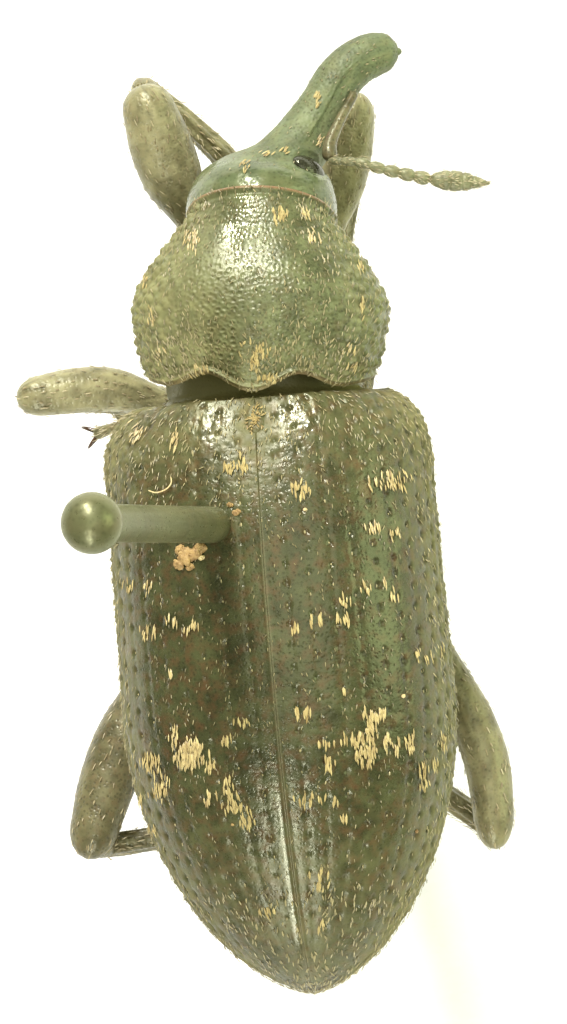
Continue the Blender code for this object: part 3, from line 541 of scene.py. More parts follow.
def smooth_line(knots, shares):
    """Points at the given shares of the length of a rounded line through the knots."""
    knots = np.array([tuple(knot) for knot in knots], float)
    padded = np.vstack([2 * knots[0] - knots[1], knots, 2 * knots[-1] - knots[-2]])
    fine = []
    for a, b, c, d in zip(padded, padded[1:], padded[2:], padded[3:]):
        t = np.linspace(0, 1, 24, endpoint=False)[:, None]
        bend = (c - a) * t + (2 * a - 5 * b + 4 * c - d) * t**2 + (3 * b - a - 3 * c + d) * t**3
        fine.append(b + bend / 2)
    fine = np.vstack([*fine, knots[-1:]])
    travelled = np.concatenate([[0], np.cumsum(np.linalg.norm(np.diff(fine, axis=0), axis=1))])
    wanted = np.asarray(shares) * travelled[-1]
    return np.stack([np.interp(wanted, travelled, fine[:, k]) for k in range(3)], axis=1)


def unit(vector):
    vector = np.asarray(vector, float)
    return vector / np.linalg.norm(vector, axis=-1, keepdims=True)


def tube(line, across, rise, up, sides=40, squareness=2.0):
    """Rings round a line, (rows, sides, xyz). Column 0 is its right side, a quarter on its top."""
    ahead = unit(np.gradient(line, axis=0))
    side = unit(np.cross(ahead, np.asarray(up, float)))
    top = np.cross(side, ahead)
    turn = np.linspace(0, 2 * math.pi, sides, endpoint=False)
    c, s = np.cos(turn), np.sin(turn)
    c, s = np.sign(c) * np.abs(c) ** (2 / squareness), np.sign(s) * np.abs(s) ** (2 / squareness)
    across, rise = (np.broadcast_to(values, len(line))[:, None, None] for values in (across, rise))
    return line[:, None] + side[:, None] * across * c[None, :, None] + top[:, None] * rise * s[None, :, None]


def rounded_ends(shares, first, last):
    """A factor that closes a tube's ends in a round."""
    near = np.sqrt(np.clip(1 - np.clip(1 - shares / first, 0, 1) ** 2, 0, 1)) if first else 1.0
    far = np.sqrt(np.clip(1 - np.clip(1 - (1 - shares) / last, 0, 1) ** 2, 0, 1)) if last else 1.0
    return np.maximum(near * far, 0.02)


def close_ends(rows, ends=0.12):
    """Shares from 0 to 1, closer together at the ends."""
    even = np.linspace(0, 1, rows)
    return even - ends * np.sin(2 * math.pi * even) / (2 * math.pi)


def full_turn(columns):
    """Angles round a ring, as one row."""
    return np.linspace(0, 2 * math.pi, columns, endpoint=False)[None]


def ball_grid(rows, columns, gap):
    """A ball of radius 1, open by a small gap at its poles. Also the angles of its rows and columns."""
    rise = np.linspace(-math.pi / 2 + gap, math.pi / 2 - gap, rows)[:, None]
    turn = full_turn(columns)
    flat = np.cos(rise)
    ball = np.stack([flat * np.cos(turn), flat * np.sin(turn), np.sin(rise) + 0 * turn], axis=-1)
    return ball, rise, turn


# Skins that carry scales

def evened(points, wrap, reach=5):
    """A grid of points averaged over its near neighbours."""
    for axis, closed in ((0, False), (1, wrap)):
        pad = [(0, 0)] * 3
        pad[axis] = (reach, reach)
        padded = np.pad(points, pad, mode="wrap" if closed else "edge")
        count = points.shape[axis]
        total = sum(np.take(padded, np.arange(k, k + count), axis=axis) for k in range(2 * reach + 1))
        points = total / (2 * reach + 1)
    return points


class Skin:
    """A grid in the world that can be hit by a ray from the photo, or read at a row and column."""

    def __init__(self, grid, place, wrap, sign, tile=(0, 0, 1, 1)):
        self.points = to_world(grid, place)
        self.normals = unit(outward_of(evened(self.points, wrap), wrap) * sign)
        self.rows, self.columns = grid.shape[:2]
        self.wrap = wrap
        self.tile = tile
        faces = grid_faces(self.rows, self.columns, wrap)
        self.tree = BVHTree.FromPolygons(self.points.reshape(-1, 3).tolist(), faces.tolist())

    def cell(self, face):
        columns = self.columns if self.wrap else self.columns - 1
        return face // columns, face % columns

    def hit(self, pixel):
        """The row and column that a pixel of the photo shows, or None."""
        start, way = photo_ray(pixel)
        face = self.tree.ray_cast(start, way)[2]
        return None if face is None else self.cell(face)

    def roots(self, places):
        """Points, normals, the way along the rows and places on the unwrap, for rows and columns."""
        places = np.array(places)
        row, column = places[:, 0].astype(int), places[:, 1].astype(int)
        before, after = np.clip(row - WAY_ROWS, 0, None), np.clip(row + WAY_ROWS, None, self.rows - 1)
        along = unit(self.points[after, column] - self.points[before, column])
        left, low, width, height = self.tile
        unwrap = np.stack([left + width * column / self.columns, low + height * row / self.rows], axis=1)
        return self.points[row, column], self.normals[row, column], along, unwrap


def clump_places(skin, clumps):
    """Rows and columns of scales in clumps given in the photo's pixels."""
    places = []
    for across, down, half_across, half_down, count in clumps:
        for _ in range(count):
            angle = draw.random() * 2 * math.pi
            reach = math.sqrt(draw.random()) * (1 + 0.25 * draw.standard_normal())
            x = across + half_across * reach * math.cos(angle)
            y = down + half_down * reach * math.sin(angle)
            place = skin.hit((x, y))
            if place is not None:
                places.append(place)
    return places


def coat(name, batches, finish):
    """Slender scales lying on skins, as one mesh. A batch is (skin, places, kind of scale)."""
    points, unwraps, shades = [], [], []
    for skin, places, kind in batches:
        if not len(places):
            continue
        *sizes, twist, shade = SCALES[kind]
        root, normal, along, unwrap = skin.roots(places)
        count = len(root)
        angle = twist * draw.standard_normal((count, 1))
        way = along * np.cos(angle) + np.cross(normal, along) * np.sin(angle)
        side = np.cross(normal, way)
        long, wide, high = (
            size * MM * (least + spread * draw.random((count, 1)))
            for size, (least, spread) in zip(sizes, SCALE_VARIETY)
        )
        root = root - way * long / 2 + normal * SCALE_LIFT * MM
        rings = [(root - normal * SCALE_SINK * MM)[:, None]]
        for run, spread in SCALE_RINGS:
            middle = root + way * long * run + normal * high * run
            thick = normal * wide * SCALE_RIDGE
            edge = side * wide * spread / 2
            rings.append(np.stack([middle - edge, middle + thick, middle + edge], axis=1))
        rings.append((root + way * long + normal * high)[:, None])
        points.append(np.concatenate(rings, axis=1))
        unwraps.append(unwrap[:, None] + (np.array(SCALE_PATCH) * PATCH_STEP)[None])
        pale = np.clip(shade + SHADE_SPREAD * draw.standard_normal((count, 1)), 0, 1)
        shades.append(pale.repeat(SCALE_POINTS, axis=1))
    points = np.concatenate(points)
    unwraps = np.concatenate(unwraps).reshape(-1, 2)
    firsts = range(0, len(points) * SCALE_POINTS, SCALE_POINTS)
    faces = [[first + k for k in face] for first in firsts for face in SCALE_FACES]
    mesh = bpy.data.meshes.new(name)
    mesh.from_pydata(points.reshape(-1, 3).tolist(), [], faces)
    mesh.attributes.new("shade", "FLOAT", "POINT").data.foreach_set("value", np.concatenate(shades).ravel())
    corners = np.empty(len(mesh.loops), int)
    mesh.loops.foreach_get("vertex_index", corners)
    mesh.uv_layers.new(name="OFBake").data.foreach_set("uv", unwraps[corners].ravel())
    return shown(name, mesh, finish)


# Finishes

POLISHED_ROUGHNESS = 0.14
DUSTY_ROUGHNESS = 0.95
POLISHED_HEIGHT = 0.5
PIT_SHADOW = 0.3
FINE_RELIEF = 0.004
SCALE_GRAIN = 30
EYE_FACETS = 28
# Painted sheen in the middle of each eye facet, and the black at their edges
EYE_PAINTED_SHEEN = (0.038, 0.039, 0.022)
EYE_BLACK = (0.012, 0.012, 0.007)
# Dust paint that also paints light: a paler glow over lit edges, left sides, a shaded gap and some legs
DUST_AND_LIGHT_PAINT = (0.32, 0.295, 0.11)
LEG_DUST_AND_LIGHT_PAINT = (0.46, 0.43, 0.22)
RIM_RED = (0.20, 0.095, 0.042)
SEAM_PALE = (0.22, 0.20, 0.11)
# Painted shade in pits and between grains
PIT_SHADE_COLOUR = (0.014, 0.013, 0.007)
OLIVE_SHEEN = (0.98, 1.0, 0.74)

MIX_PORTS = {"RGBA": (6, 7, 2), "FLOAT": (2, 3, 0)}
GRAIN_INPUTS = {
    "Dark": "Color", "Light": "Color", "Tint": "Color", "Pit shadow colour": "Color", "Mottle size": "Float",
    "Tint amount": "Float", "Grain size": "Float", "Smooth": "Float", "Rough": "Float", "Pit size": "Float",
    "Pits": "Float",
}
GRAIN_OUTPUTS = {"Colour": "Color", "Roughness": "Float", "Height": "Float"}


def new_material(name):
    material = bpy.data.materials.new(name)
    material.use_nodes = True
    return material, material.node_tree, material.node_tree.nodes["Principled BSDF"]


def new_node(tree, kind, fed=(), values=(), **settings):
    """A node with its settings, its sockets' own values, and what feeds its other sockets."""
    node = tree.nodes.new("ShaderNode" + kind)
    for name, setting in settings.items():
        setattr(node, name, setting)
    for socket, value in dict(values).items():
        node.inputs[socket].default_value = value
    for socket, source in dict(fed).items():
        tree.links.new(source, node.inputs[socket])
    return node


def mixed(tree, kind, factor, first, second):
    """First mixed with second, which is a socket, or a colour or number of its own."""
    low, high, result = MIX_PORTS[kind]
    mix = new_node(tree, "Mix", {0: factor, low: first}, data_type=kind)
    if isinstance(second, bpy.types.NodeSocket):
        tree.links.new(second, mix.inputs[high])
    else:
        mix.inputs[high].default_value = second
    return mix.outputs[result]


def mark_of(tree, attribute):
    """The value of a mark that the mesh carries."""
    return new_node(tree, "Attribute", attribute_name=attribute).outputs["Fac"]


def relief_on(tree, shader, height, depth, invert=False):
    """Fine bumps, their depth in millimetres."""
    bumps = new_node(tree, "Bump", {"Height": height}, {"Distance": depth * MM}, invert=invert)
    tree.links.new(bumps.outputs["Normal"], shader.inputs["Normal"])


def ramp_on(tree, shader, value, first, last):
    """Base colour from first to last with the value."""
    ramp = new_node(tree, "ValToRGB", {"Fac": value})
    for stop, colour in zip(ramp.color_ramp.elements, (first, last)):
        stop.color = (*colour, 1.0)
    tree.links.new(ramp.outputs["Color"], shader.inputs["Base Color"])


def grain_group():
    """Mottled colour, painted shadow in small pits, uneven gloss and fine relief, shared by every grained
    finish.
    """
    group = bpy.data.node_groups.new("surface_grain", "ShaderNodeTree")
    for way, sockets in (("INPUT", GRAIN_INPUTS), ("OUTPUT", GRAIN_OUTPUTS)):
        for name, kind in sockets.items():
            group.interface.new_socket(name, in_out=way, socket_type="NodeSocket" + kind)
    taken = group.nodes.new("NodeGroupInput").outputs
    given = group.nodes.new("NodeGroupOutput").inputs
    place = new_node(group, "TexCoord").outputs["Object"]

    def texture(kind, size, factor=1.0, **values):
        scale = new_node(group, "Math", {1: taken[size]}, {0: factor / MM}, operation="DIVIDE").outputs[0]
        return new_node(group, kind, {"Scale": scale, "Vector": place}, values)

    def contrast(value, low, high):
        node = new_node(group, "MapRange", {"Value": value}, {"From Min": low, "From Max": high})
        return node.outputs["Result"]

    def product(first, second):
        return new_node(group, "Math", {0: first, 1: second}, operation="MULTIPLY").outputs[0]

    mottle = contrast(texture("TexNoise", "Mottle size", Detail=4).outputs["Fac"], 0.35, 0.65)
    patches = contrast(texture("TexNoise", "Mottle size", 2.6, Detail=3).outputs["Fac"], 0.45, 0.75)
    grain = texture("TexNoise", "Grain size", Detail=5).outputs["Fac"]
    bowl = contrast(texture("TexVoronoi", "Pit size").outputs["Distance"], 0.05, 0.45)
    depth = new_node(group, "Math", {0: bowl}, {1: -1.0, 2: 1.0}, operation="MULTIPLY_ADD").outputs[0]
    base = mixed(group, "RGBA", mottle, taken["Dark"], taken["Light"])
    tinted = mixed(group, "RGBA", product(patches, taken["Tint amount"]), base, taken["Tint"])
    results = {
        "Colour": mixed(group, "RGBA", product(depth, taken["Pits"]), tinted, taken["Pit shadow colour"]),
        "Roughness": mixed(group, "FLOAT", contrast(grain, 0.3, 0.7), taken["Smooth"], taken["Rough"]),
        "Height": mixed(group, "FLOAT", taken["Pits"], grain, bowl),
    }
    for name, result in results.items():
        group.links.new(result, given[name])
    return group


def grained(
    name, dark, light, tint, mottle, tint_amount, grain, smooth, rough, relief,
    marks=(), pits=(0.05, 0.0), metallic=0.0, sheen_tint=(1.0, 1.0, 1.0), polished=False,
):
    """A material from the grain group.

    marks are (attribute, colour, strength) painted over it, among them painted shade in pits and dust that
    is partly painted light; pits are the grain's pit size and its share of the relief and of the painted pit
    shadow, and sheen_tint the colour of its reflections. A polished one is smooth where the mesh's polish
    mark is 1, and matt where its mark of dust and painted light is 1.
    """
    material, tree, shader = new_material(name)
    group = new_node(tree, "Group", node_tree=grain_tree)
    shadow = tuple(PIT_SHADOW * channel for channel in dark)
    values = (dark, light, tint, shadow, mottle, tint_amount, grain, smooth, rough, *pits)
    for socket, value in zip(group.inputs, values):
        socket.default_value = (*value, 1.0) if isinstance(value, tuple) else value
    colour, roughness, height = group.outputs
    for attribute, paint, strength in marks:
        share = new_node(tree, "Math", {0: mark_of(tree, attribute)}, {1: strength}, operation="MULTIPLY")
        colour = mixed(tree, "RGBA", share.outputs[0], colour, (*paint, 1.0))
    if polished:
        shine = mark_of(tree, "polish")
        roughness = mixed(tree, "FLOAT", mark_of(tree, "dust"), roughness, DUSTY_ROUGHNESS)
        roughness = mixed(tree, "FLOAT", shine, roughness, POLISHED_ROUGHNESS)
        height = mixed(tree, "FLOAT", shine, height, POLISHED_HEIGHT)
    relief_on(tree, shader, height, relief)
    tree.links.new(colour, shader.inputs["Base Color"])
    tree.links.new(roughness, shader.inputs["Roughness"])
    shader.inputs["Metallic"].default_value = metallic
    shader.inputs["Specular Tint"].default_value = (*sheen_tint, 1.0)
    return material


def scale_finish(name, pale, deep, roughness):
    """Scales whose colour runs from deep to pale with each scale's own shade."""
    material, tree, shader = new_material(name)
    place = new_node(tree, "TexCoord").outputs["Object"]
    grain = new_node(tree, "TexNoise", {"Vector": place}, {"Scale": SCALE_GRAIN / MM})
    relief_on(tree, shader, grain.outputs["Fac"], FINE_RELIEF)
    ramp_on(tree, shader, mark_of(tree, "shade"), deep, pale)
    shader.inputs["Roughness"].default_value = roughness
    return material


def eye_finish():
    """Black eye with fine six-sided facets, each painted lighter in its middle as a painted sheen."""
    material, tree, shader = new_material("eye_facets")
    place = new_node(tree, "TexCoord").outputs["Object"]
    facets = new_node(tree, "TexVoronoi", {"Vector": place}, {"Scale": EYE_FACETS / MM, "Randomness": 0.25})
    relief_on(tree, shader, facets.outputs["Distance"], FINE_RELIEF, True)
    ramp_on(tree, shader, facets.outputs["Distance"], EYE_PAINTED_SHEEN, EYE_BLACK)
    shader.inputs["Specular Tint"].default_value = (*OLIVE_SHEEN, 1.0)
    shader.inputs["Roughness"].default_value = 0.09
    return material


grain_tree = grain_group()
# Among the marks, the dust paint is partly painted light and the pit paint is painted shade.
finishes = {
    "back": grained(
        "back_cuticle", (0.026, 0.0275, 0.010), (0.058, 0.063, 0.024), (0.090, 0.042, 0.018),
        0.42, 0.70, 0.030, 0.16, 0.32, 0.005,
        (("dust", DUST_AND_LIGHT_PAINT, 0.5), ("rim", SEAM_PALE, 0.28), ("pit", PIT_SHADE_COLOUR, 0.8)),
        (0.055, 0.55), 0.0, OLIVE_SHEEN, True,
    ),
    "chest": grained(
        "prothorax_cuticle", (0.066, 0.075, 0.031), (0.142, 0.158, 0.068), (0.105, 0.078, 0.036),
        0.35, 0.5, 0.028, 0.22, 0.38, 0.004,
        (("dust", DUST_AND_LIGHT_PAINT, 0.6), ("rim", RIM_RED, 0.8), ("pit", PIT_SHADE_COLOUR, 0.6)),
        (0.060, 0.7), 0.0, OLIVE_SHEEN, True,
    ),
    "belly": grained(
        "belly_cuticle", (0.034, 0.030, 0.014), (0.068, 0.060, 0.030), (0.085, 0.050, 0.023),
        0.4, 0.5, 0.035, 0.26, 0.44, 0.006,
        (("dust", DUST_AND_LIGHT_PAINT, 0.6), ("pit", PIT_SHADE_COLOUR, 0.9)), (0.060, 0.5), 0.0, OLIVE_SHEEN,
    ),
    "head": grained(
        "head_cuticle", (0.060, 0.077, 0.034), (0.120, 0.148, 0.066), (0.105, 0.100, 0.047),
        0.4, 0.4, 0.028, 0.42, 0.60, 0.006,
        (("dust", DUST_AND_LIGHT_PAINT, 0.6),), (0.055, 0.6), 0.0, OLIVE_SHEEN, True,
    ),
    "leg": grained(
        "leg_cuticle", (0.056, 0.050, 0.022), (0.130, 0.118, 0.055), (0.130, 0.080, 0.038),
        0.25, 0.5, 0.03, 0.26, 0.44, 0.007,
        (("dust", LEG_DUST_AND_LIGHT_PAINT, 0.9),), (0.060, 0.65), 0.0, OLIVE_SHEEN,
    ),
    "feeler": grained(
        "feeler_cuticle", (0.115, 0.118, 0.058), (0.21, 0.215, 0.112), (0.20, 0.145, 0.068),
        0.12, 0.5, 0.02, 0.35, 0.52, 0.003, (), (0.03, 0.4), 0.0, OLIVE_SHEEN,
    ),
    "claw": grained(
        "claw_horn", (0.030, 0.016, 0.008), (0.080, 0.040, 0.018), (0.10, 0.05, 0.02),
        0.1, 0.4, 0.02, 0.15, 0.3, 0.002,
    ),
    "pin": grained(
        "pin_enamel", (0.076, 0.080, 0.034), (0.125, 0.130, 0.058), (0.15, 0.12, 0.058),
        0.9, 0.5, 0.06, 0.26, 0.42, 0.003, (), (0.08, 0.3), 0.35, OLIVE_SHEEN,
    ),
    "block": grained(
        "block_lacquer", (0.87, 0.865, 0.84), (0.91, 0.905, 0.885), (0.85, 0.84, 0.81),
        2.5, 0.3, 0.12, 0.38, 0.50, 0.010,
    ),
    "tissue": grained(
        "dried_tissue", (0.22, 0.125, 0.038), (0.42, 0.275, 0.095), (0.52, 0.37, 0.145),
        0.08, 0.6, 0.015, 0.45, 0.7, 0.010,
    ),
    "husk": grained(
        "pale_husk", (0.55, 0.42, 0.18), (0.72, 0.60, 0.32), (0.70, 0.46, 0.22),
        0.06, 0.4, 0.015, 0.4, 0.7, 0.008,
    ),
    "scales": scale_finish("ochre_scales", (0.54, 0.440, 0.185), (0.26, 0.180, 0.062), 0.42),
    "fine_scales": scale_finish("pale_scales", (0.42, 0.36, 0.18), (0.14, 0.12, 0.052), 0.40),
    "hairs": scale_finish("leg_hairs", (0.50, 0.44, 0.25), (0.20, 0.155, 0.07), 0.45),
    "eye": eye_finish(),
}


# Wing cases

def case_half_width(back):
    short = np.clip(1 - back / SHOULDER_END, 0, 1)
    front = CASE_BASE_HALF + (CASE_SHOULDER_HALF - CASE_BASE_HALF) * np.sqrt(1 - short**2)
    share = np.clip((back - SHOULDER_END) / (TAPER_START - SHOULDER_END), 0, 1)
    middle = CASE_SHOULDER_HALF + (CASE_WIDEST_HALF - CASE_SHOULDER_HALF) * share**2
    share = np.clip((back - TAPER_START) / (CASE_LENGTH - TAPER_START), 0, 1)
    return np.where(back < SHOULDER_END, front, middle * (1 - share**2) ** CASE_TIP_FULLNESS)


def back_height(back):
    front = BACK_TOP_HEIGHT - (BACK_TOP_HEIGHT - BACK_BASE_HEIGHT) * (1 - back / BACK_TOP_AT) ** 2
    share = np.clip((back - BACK_TOP_AT) / (CASE_LENGTH - BACK_TOP_AT), 0, 1)
    rear = TIP_HEIGHT + (BACK_TOP_HEIGHT - TIP_HEIGHT) * (1 - share**2.4) ** 0.62
    return np.where(back < BACK_TOP_AT, front, rear)


def edge_height(back):
    return TIP_HEIGHT * (np.clip(back, 0, None) / CASE_LENGTH) ** 1.5


def belly_height(back):
    share = np.clip(back / CASE_LENGTH, 0, 1) ** 2.6
    front_rise = 0.25 * np.clip(1 - back / 1.2, 0, None) ** 2
    return -BELLY_DEPTH * (1 - share) ** 0.8 + (TIP_HEIGHT - JOINT_GAP) * share + front_rise


def arch(half, height, turn, roundness):
    """(x, z) on a rounded arch: turn 0 is the foot at +half, a half turn the foot at -half."""
    c, s = np.cos(turn), np.sin(turn)
    return half * np.sign(c) * np.abs(c) ** (2 / roundness), height * np.abs(s) ** (2 / roundness)


def row_share(row):
    """Where a row of punctures lies between the seam and the lower edge."""
    return (row + 0.9) / (PUNCTURE_ROWS + 0.6)


def case_relief(back, share, length, side):
    """Heights over one wing case: punctures in rows, grains and the seam. Also the painted shade of its pits
    and its polish.
    """
    seed = 3 if side < 0 else 4
    jitter = np.random.default_rng(seed).random((PUNCTURE_ROWS, PUNCTURE_TABLE)) - 0.5
    seam = share * length
    narrow = np.clip(length / 2.6, 0.25, 1)
    tail = soft_step(CASE_LENGTH, CASE_LENGTH - 1.4, back)
    outer = soft_step(0.35, 0.85, share)
    heights = np.zeros(np.broadcast(back, share).shape)
    pits = np.zeros(heights.shape)
    for row in range(PUNCTURE_ROWS):
        off = (share - row_share(row)) * length
        number = np.round((back + ROW_SKEW * row) / PUNCTURE_SPACING).astype(int)
        shift = jitter[row, np.clip(number, 0, PUNCTURE_TABLE - 1)]
        along = back + ROW_SKEW * row - (number + 0.28 * shift) * PUNCTURE_SPACING
        across = off + 0.04 * np.take(jitter[row], (number * 7) % PUNCTURE_TABLE)
        size = 0.62 + 0.4 * np.take(jitter[row], (number * 3 + 5) % PUNCTURE_TABLE) + 0.50 * outer
        away = np.sqrt((across / (0.048 * narrow)) ** 2 + (along / 0.060) ** 2) / size
        bowl = np.exp(-away**2.2) * tail
        heights -= (0.018 + 0.020 * outer + 0.010 * shift) * narrow * bowl
        heights -= 0.005 * narrow * ridge(off, 0.05 * narrow)
        # Painted shade in the punctures, stronger towards the lower edge
        pits = np.maximum(pits, bowl * (0.40 + 0.45 * outer))
    rough = soft_step(2.0, 0.1, back) * (0.25 + 0.75 * outer) + 0.5 * soft_step(0.60, 0.95, share)
    heights += (0.003 + 0.014 * rough) * grains(seam, back, 0.095, seed + 20, 0.62)
    heights += (0.003 + 0.010 * rough) * ripple(seam, back, 0.17, seed + 40)
    warts = grains(seam * 0.9, back, 0.14, seed + 50, 0.42, rare=0.45)
    heights += 0.022 * soft_step(0.74, 0.94, share) * warts * tail
    strip = soft_step(0.15, 0.09, seam) * soft_step(4.8, 5.8, back) * (1.0 if side < 0 else 0.4)
    heights *= 1 - 0.85 * strip
    heights += 0.012 * ridge(seam, 0.030) * soft_step(0.6, 3.0, back)
    heights += 0.060 * ridge(seam - 0.85, 0.35) * ridge(back - 0.4, 0.42)
    shoulder = ridge(seam - 0.58, 0.30) * ridge(back - 0.35, 0.38)
    return heights, pits, np.clip(0.7 * strip + 0.75 * shoulder, 0, 1)


def case_grid(side, rows=620, columns=210):
    """One wing case from seam to lower edge with its relief, and its marks: dust that is partly painted
    light, painted shade in the pits, the pale seam and the polish.
    """
    tip_turn = np.linspace(0, math.pi / 2, CASE_TIP_ROWS + 1)[1:]
    tip = CASE_EVEN_LENGTH + (CASE_LENGTH - CASE_EVEN_LENGTH) * np.sin(tip_turn)
    back = np.concatenate([np.linspace(0, CASE_EVEN_LENGTH, rows - CASE_TIP_ROWS), tip])[:, None]
    turn = np.linspace(math.pi / 2, 0, 240)[None]
    low = edge_height(back)
    x, z = arch(case_half_width(back) + 0.002, back_height(back) - low, turn, CASE_ROUNDNESS)
    grid = np.stack([side * (x + SEAM_HALF), np.broadcast_to(-back, x.shape), low + z], axis=-1)
    grid, length = even_rows(grid, columns)
    share = np.linspace(0, 1, columns)[None]
    seam = share * length
    heights, pits, polish = case_relief(back, share, length, side)
    collar = np.hypot(
        grid[..., 0] / SCUTELLUM_HALVES[0], (grid[..., 1] - SCUTELLUM_CENTRE[1]) / SCUTELLUM_HALVES[1]
    )
    shaped = raised(grid, heights - 0.035 * bump(collar, 1.25), False, side)
    # The dust mark here is partly dust and partly painted light: the flanks, the base and the tip are
    # painted paler as a glow of light, more on the left wing case than on the right.
    edge = soft_step(0.50, 0.95, share) * (1.05 if side > 0 else 1.20)
    tip = soft_step(4.8, 7.6, back) * 0.40
    base = soft_step(1.7, 0.3, back) * (0.30 if side > 0 else 0.48)
    base = base + soft_step(0.42, 0.20, seam) * soft_step(1.5, 1.0, back) * 0.22
    dust = (edge + tip + base + 0.12) * (0.35 + 0.9 * speckles(seam, back, 0.09, 77)) - 0.1
    rim = soft_step(0.040, 0.01, seam) * soft_step(0.5, 2, back)
    return shaped, dict(dust=np.clip(dust, 0, 1) * 0.75, rim=rim, pit=pits, polish=polish)


def folded_case(grid, side):
    """The wing case with its front lip turned down and its lower edge and seam turned in."""
    under = []
    for inward, down in ((0.06, -0.05), (0.16, -0.06), (0.34, -0.02)):
        row = grid[:, -1].copy()
        row[:, 0] -= side * np.minimum(inward, 0.8 * np.abs(row[:, 0]))
        row[:, 2] += down
        under.append(row)
    seam = grid[:, 0].copy()
    seam[:, 2] -= 0.16
    grid = np.concatenate([seam[:, None], grid, np.stack(under, axis=1)], axis=1)
    lips = []
    for shrink, backward in ((0.80, 0.10), (0.90, 0.04), (0.965, 0.008)):
        lip = grid[0].copy()
        lip[:, 0] *= shrink
        lip[:, 2] *= shrink
        lip[:, 1] -= backward
        lips.append(lip)
    return np.concatenate([np.stack(lips), grid])


def wing_cases():
    """Both wing cases. Returns their skins, left and right."""
    skins = []
    for side, word, left in ((-1, "left", 0.0), (1, "right", 0.51)):
        grid, marks = case_grid(side)
        padded = {mark: np.pad(values, ((3, 0), (1, 3)), mode="edge") for mark, values in marks.items()}
        shell = Shell().grid(folded_case(grid, side), BODY, False, (False, False), **padded)
        if faces_inward(shell):
            shell.faces = [face[::-1] for face in shell.faces]
        shell.piece("wing_case_" + word + "_skin", "back", "back", ("wing_case_" + word,))
        skins.append(Skin(grid, BODY, False, side, (left, 0.0, 0.49, 1.0)))
    return skins


def faces_inward(shell):
    """Whether an open, roof-like mesh faces down."""
    points = np.concatenate(shell.points)
    corners = points[np.array(shell.faces[:20000:7])]
    return np.cross(corners[:, 1] - corners[:, 0], corners[:, 2] - corners[:, 0])[:, 2].sum() < 0


def scutellum():
    """The small tongue-shaped plate between the wing cases' bases."""
    reach = np.linspace(0.02, 1, 26)[:, None]
    turn = full_turn(48)
    x = SCUTELLUM_HALVES[0] * reach * np.cos(turn)
    y = SCUTELLUM_CENTRE[1] + SCUTELLUM_HALVES[1] * reach * np.sin(turn)
    top = back_height(np.clip(-y, 0, None)) + 0.012 - 0.045 * reach**4
    top = top + 0.010 * grains(x, y, 0.05, 91, 0.6, 0)
    grid = np.stack([x, y, top], axis=-1)
    skirt = grid[-1:] - (0, 0, 0.25)
    shell = Shell().grid(np.concatenate([grid, skirt]), BODY, dust=0.35, rim=0.0, pit=0.0, polish=0.0)
    shell.piece("scutellum_skin", "back", "back")
    return Skin(grid, BODY, True, 1, (0.2, 0.2, 0.1, 0.1))


# Underside of the hind body, with the middle and hind hips

def belly_grid(rows=300, columns=150):
    """The underside from side to side with its plates' seams, and its dust."""
    front = np.linspace(-0.62, 0.02, 24)[:-1]
    back = np.concatenate([front, np.linspace(0.02, CASE_LENGTH - 0.02, rows)])[:, None]
    turn = np.linspace(0, math.pi, columns)[None]
    neck = soft_step(0.30, -0.10, back)
    half = (case_half_width(np.clip(back, 0.30, None)) - 0.08) * (1 - 0.34 * neck)
    low = edge_height(back) - 0.04
    depth = (low - belly_height(np.clip(back, 0, None))) * (1 - 0.42 * neck)
    x, z = arch(half, depth, turn, BELLY_ROUNDNESS)
    grid = np.stack([x, np.broadcast_to(-back, x.shape), low - z], axis=-1)
    share = turn / math.pi
    across = share * 5.0
    heights = 0 * x
    for seam in PLATE_SEAMS:
        bowed = back - seam + 0.10 * np.cos(turn * 2)
        heights += 0.025 * ridge(bowed + 0.12, 0.10) - 0.045 * ridge(bowed, 0.03)
    heights -= 0.030 * grains(across, back, 0.16, 61, 0.36, rare=0.25)
    heights += 0.004 * grains(across, back, 0.05, 62, 0.7, 0)
    heights += 0.010 * ripple(across, back, 0.3, 63)
    inner = soft_step(0.0, 0.25, np.minimum(share, 1 - share))
    dust = np.clip(0.15 + 0.6 * speckles(across, back, 0.12, 64) * inner, 0, 1) * 0.5
    return raised(grid, heights, False, 1), dust


def belly():
    """Thorax and abdomen from below, closed above by a flat roof that the wing cases hide."""
    grid, dust = belly_grid()
    roof = []
    for share in np.linspace(0, 1, 9)[1:-1]:
        row = grid[:, -1] * (1 - share) + grid[:, 0] * share
        room = np.clip(back_height(np.clip(-row[:, 1], 0, None)) - 0.30 - row[:, 2], 0.0, None)
        room = room * (1 - 0.30 * soft_step(-0.25, 0.15, row[:, 1]))
        bulge = min(1.08 * math.sin(math.pi * share), 1.0)
        row[:, 2] += bulge * room * 0.86 * soft_step(8.0, 7.0, -row[:, 1])
        roof.append(row)
    whole = np.concatenate([grid, np.stack(roof, axis=1)], axis=1)
    # Painted light: the shaded gap behind the prothorax takes the full pale dust paint, as if lit.
    neck = soft_step(-0.35, 0.0, whole[..., 1]) * soft_step(-0.9, -0.3, whole[..., 2])
    dust = np.maximum(np.pad(dust, ((0, 0), (0, len(roof))), mode="edge"), neck)
    shell = Shell().grid(whole, BODY, dust=dust, pit=0.0)
    for word in ("middle_left", "middle_right", "hind_left", "hind_right"):
        shell.grid(coxa_grid(word), BODY, dust=0.15, pit=0.0)
    shell.piece("underside_skin", "belly", "belly", ("thorax", "abdomen"))
    return Skin(grid, BODY, False, 1)


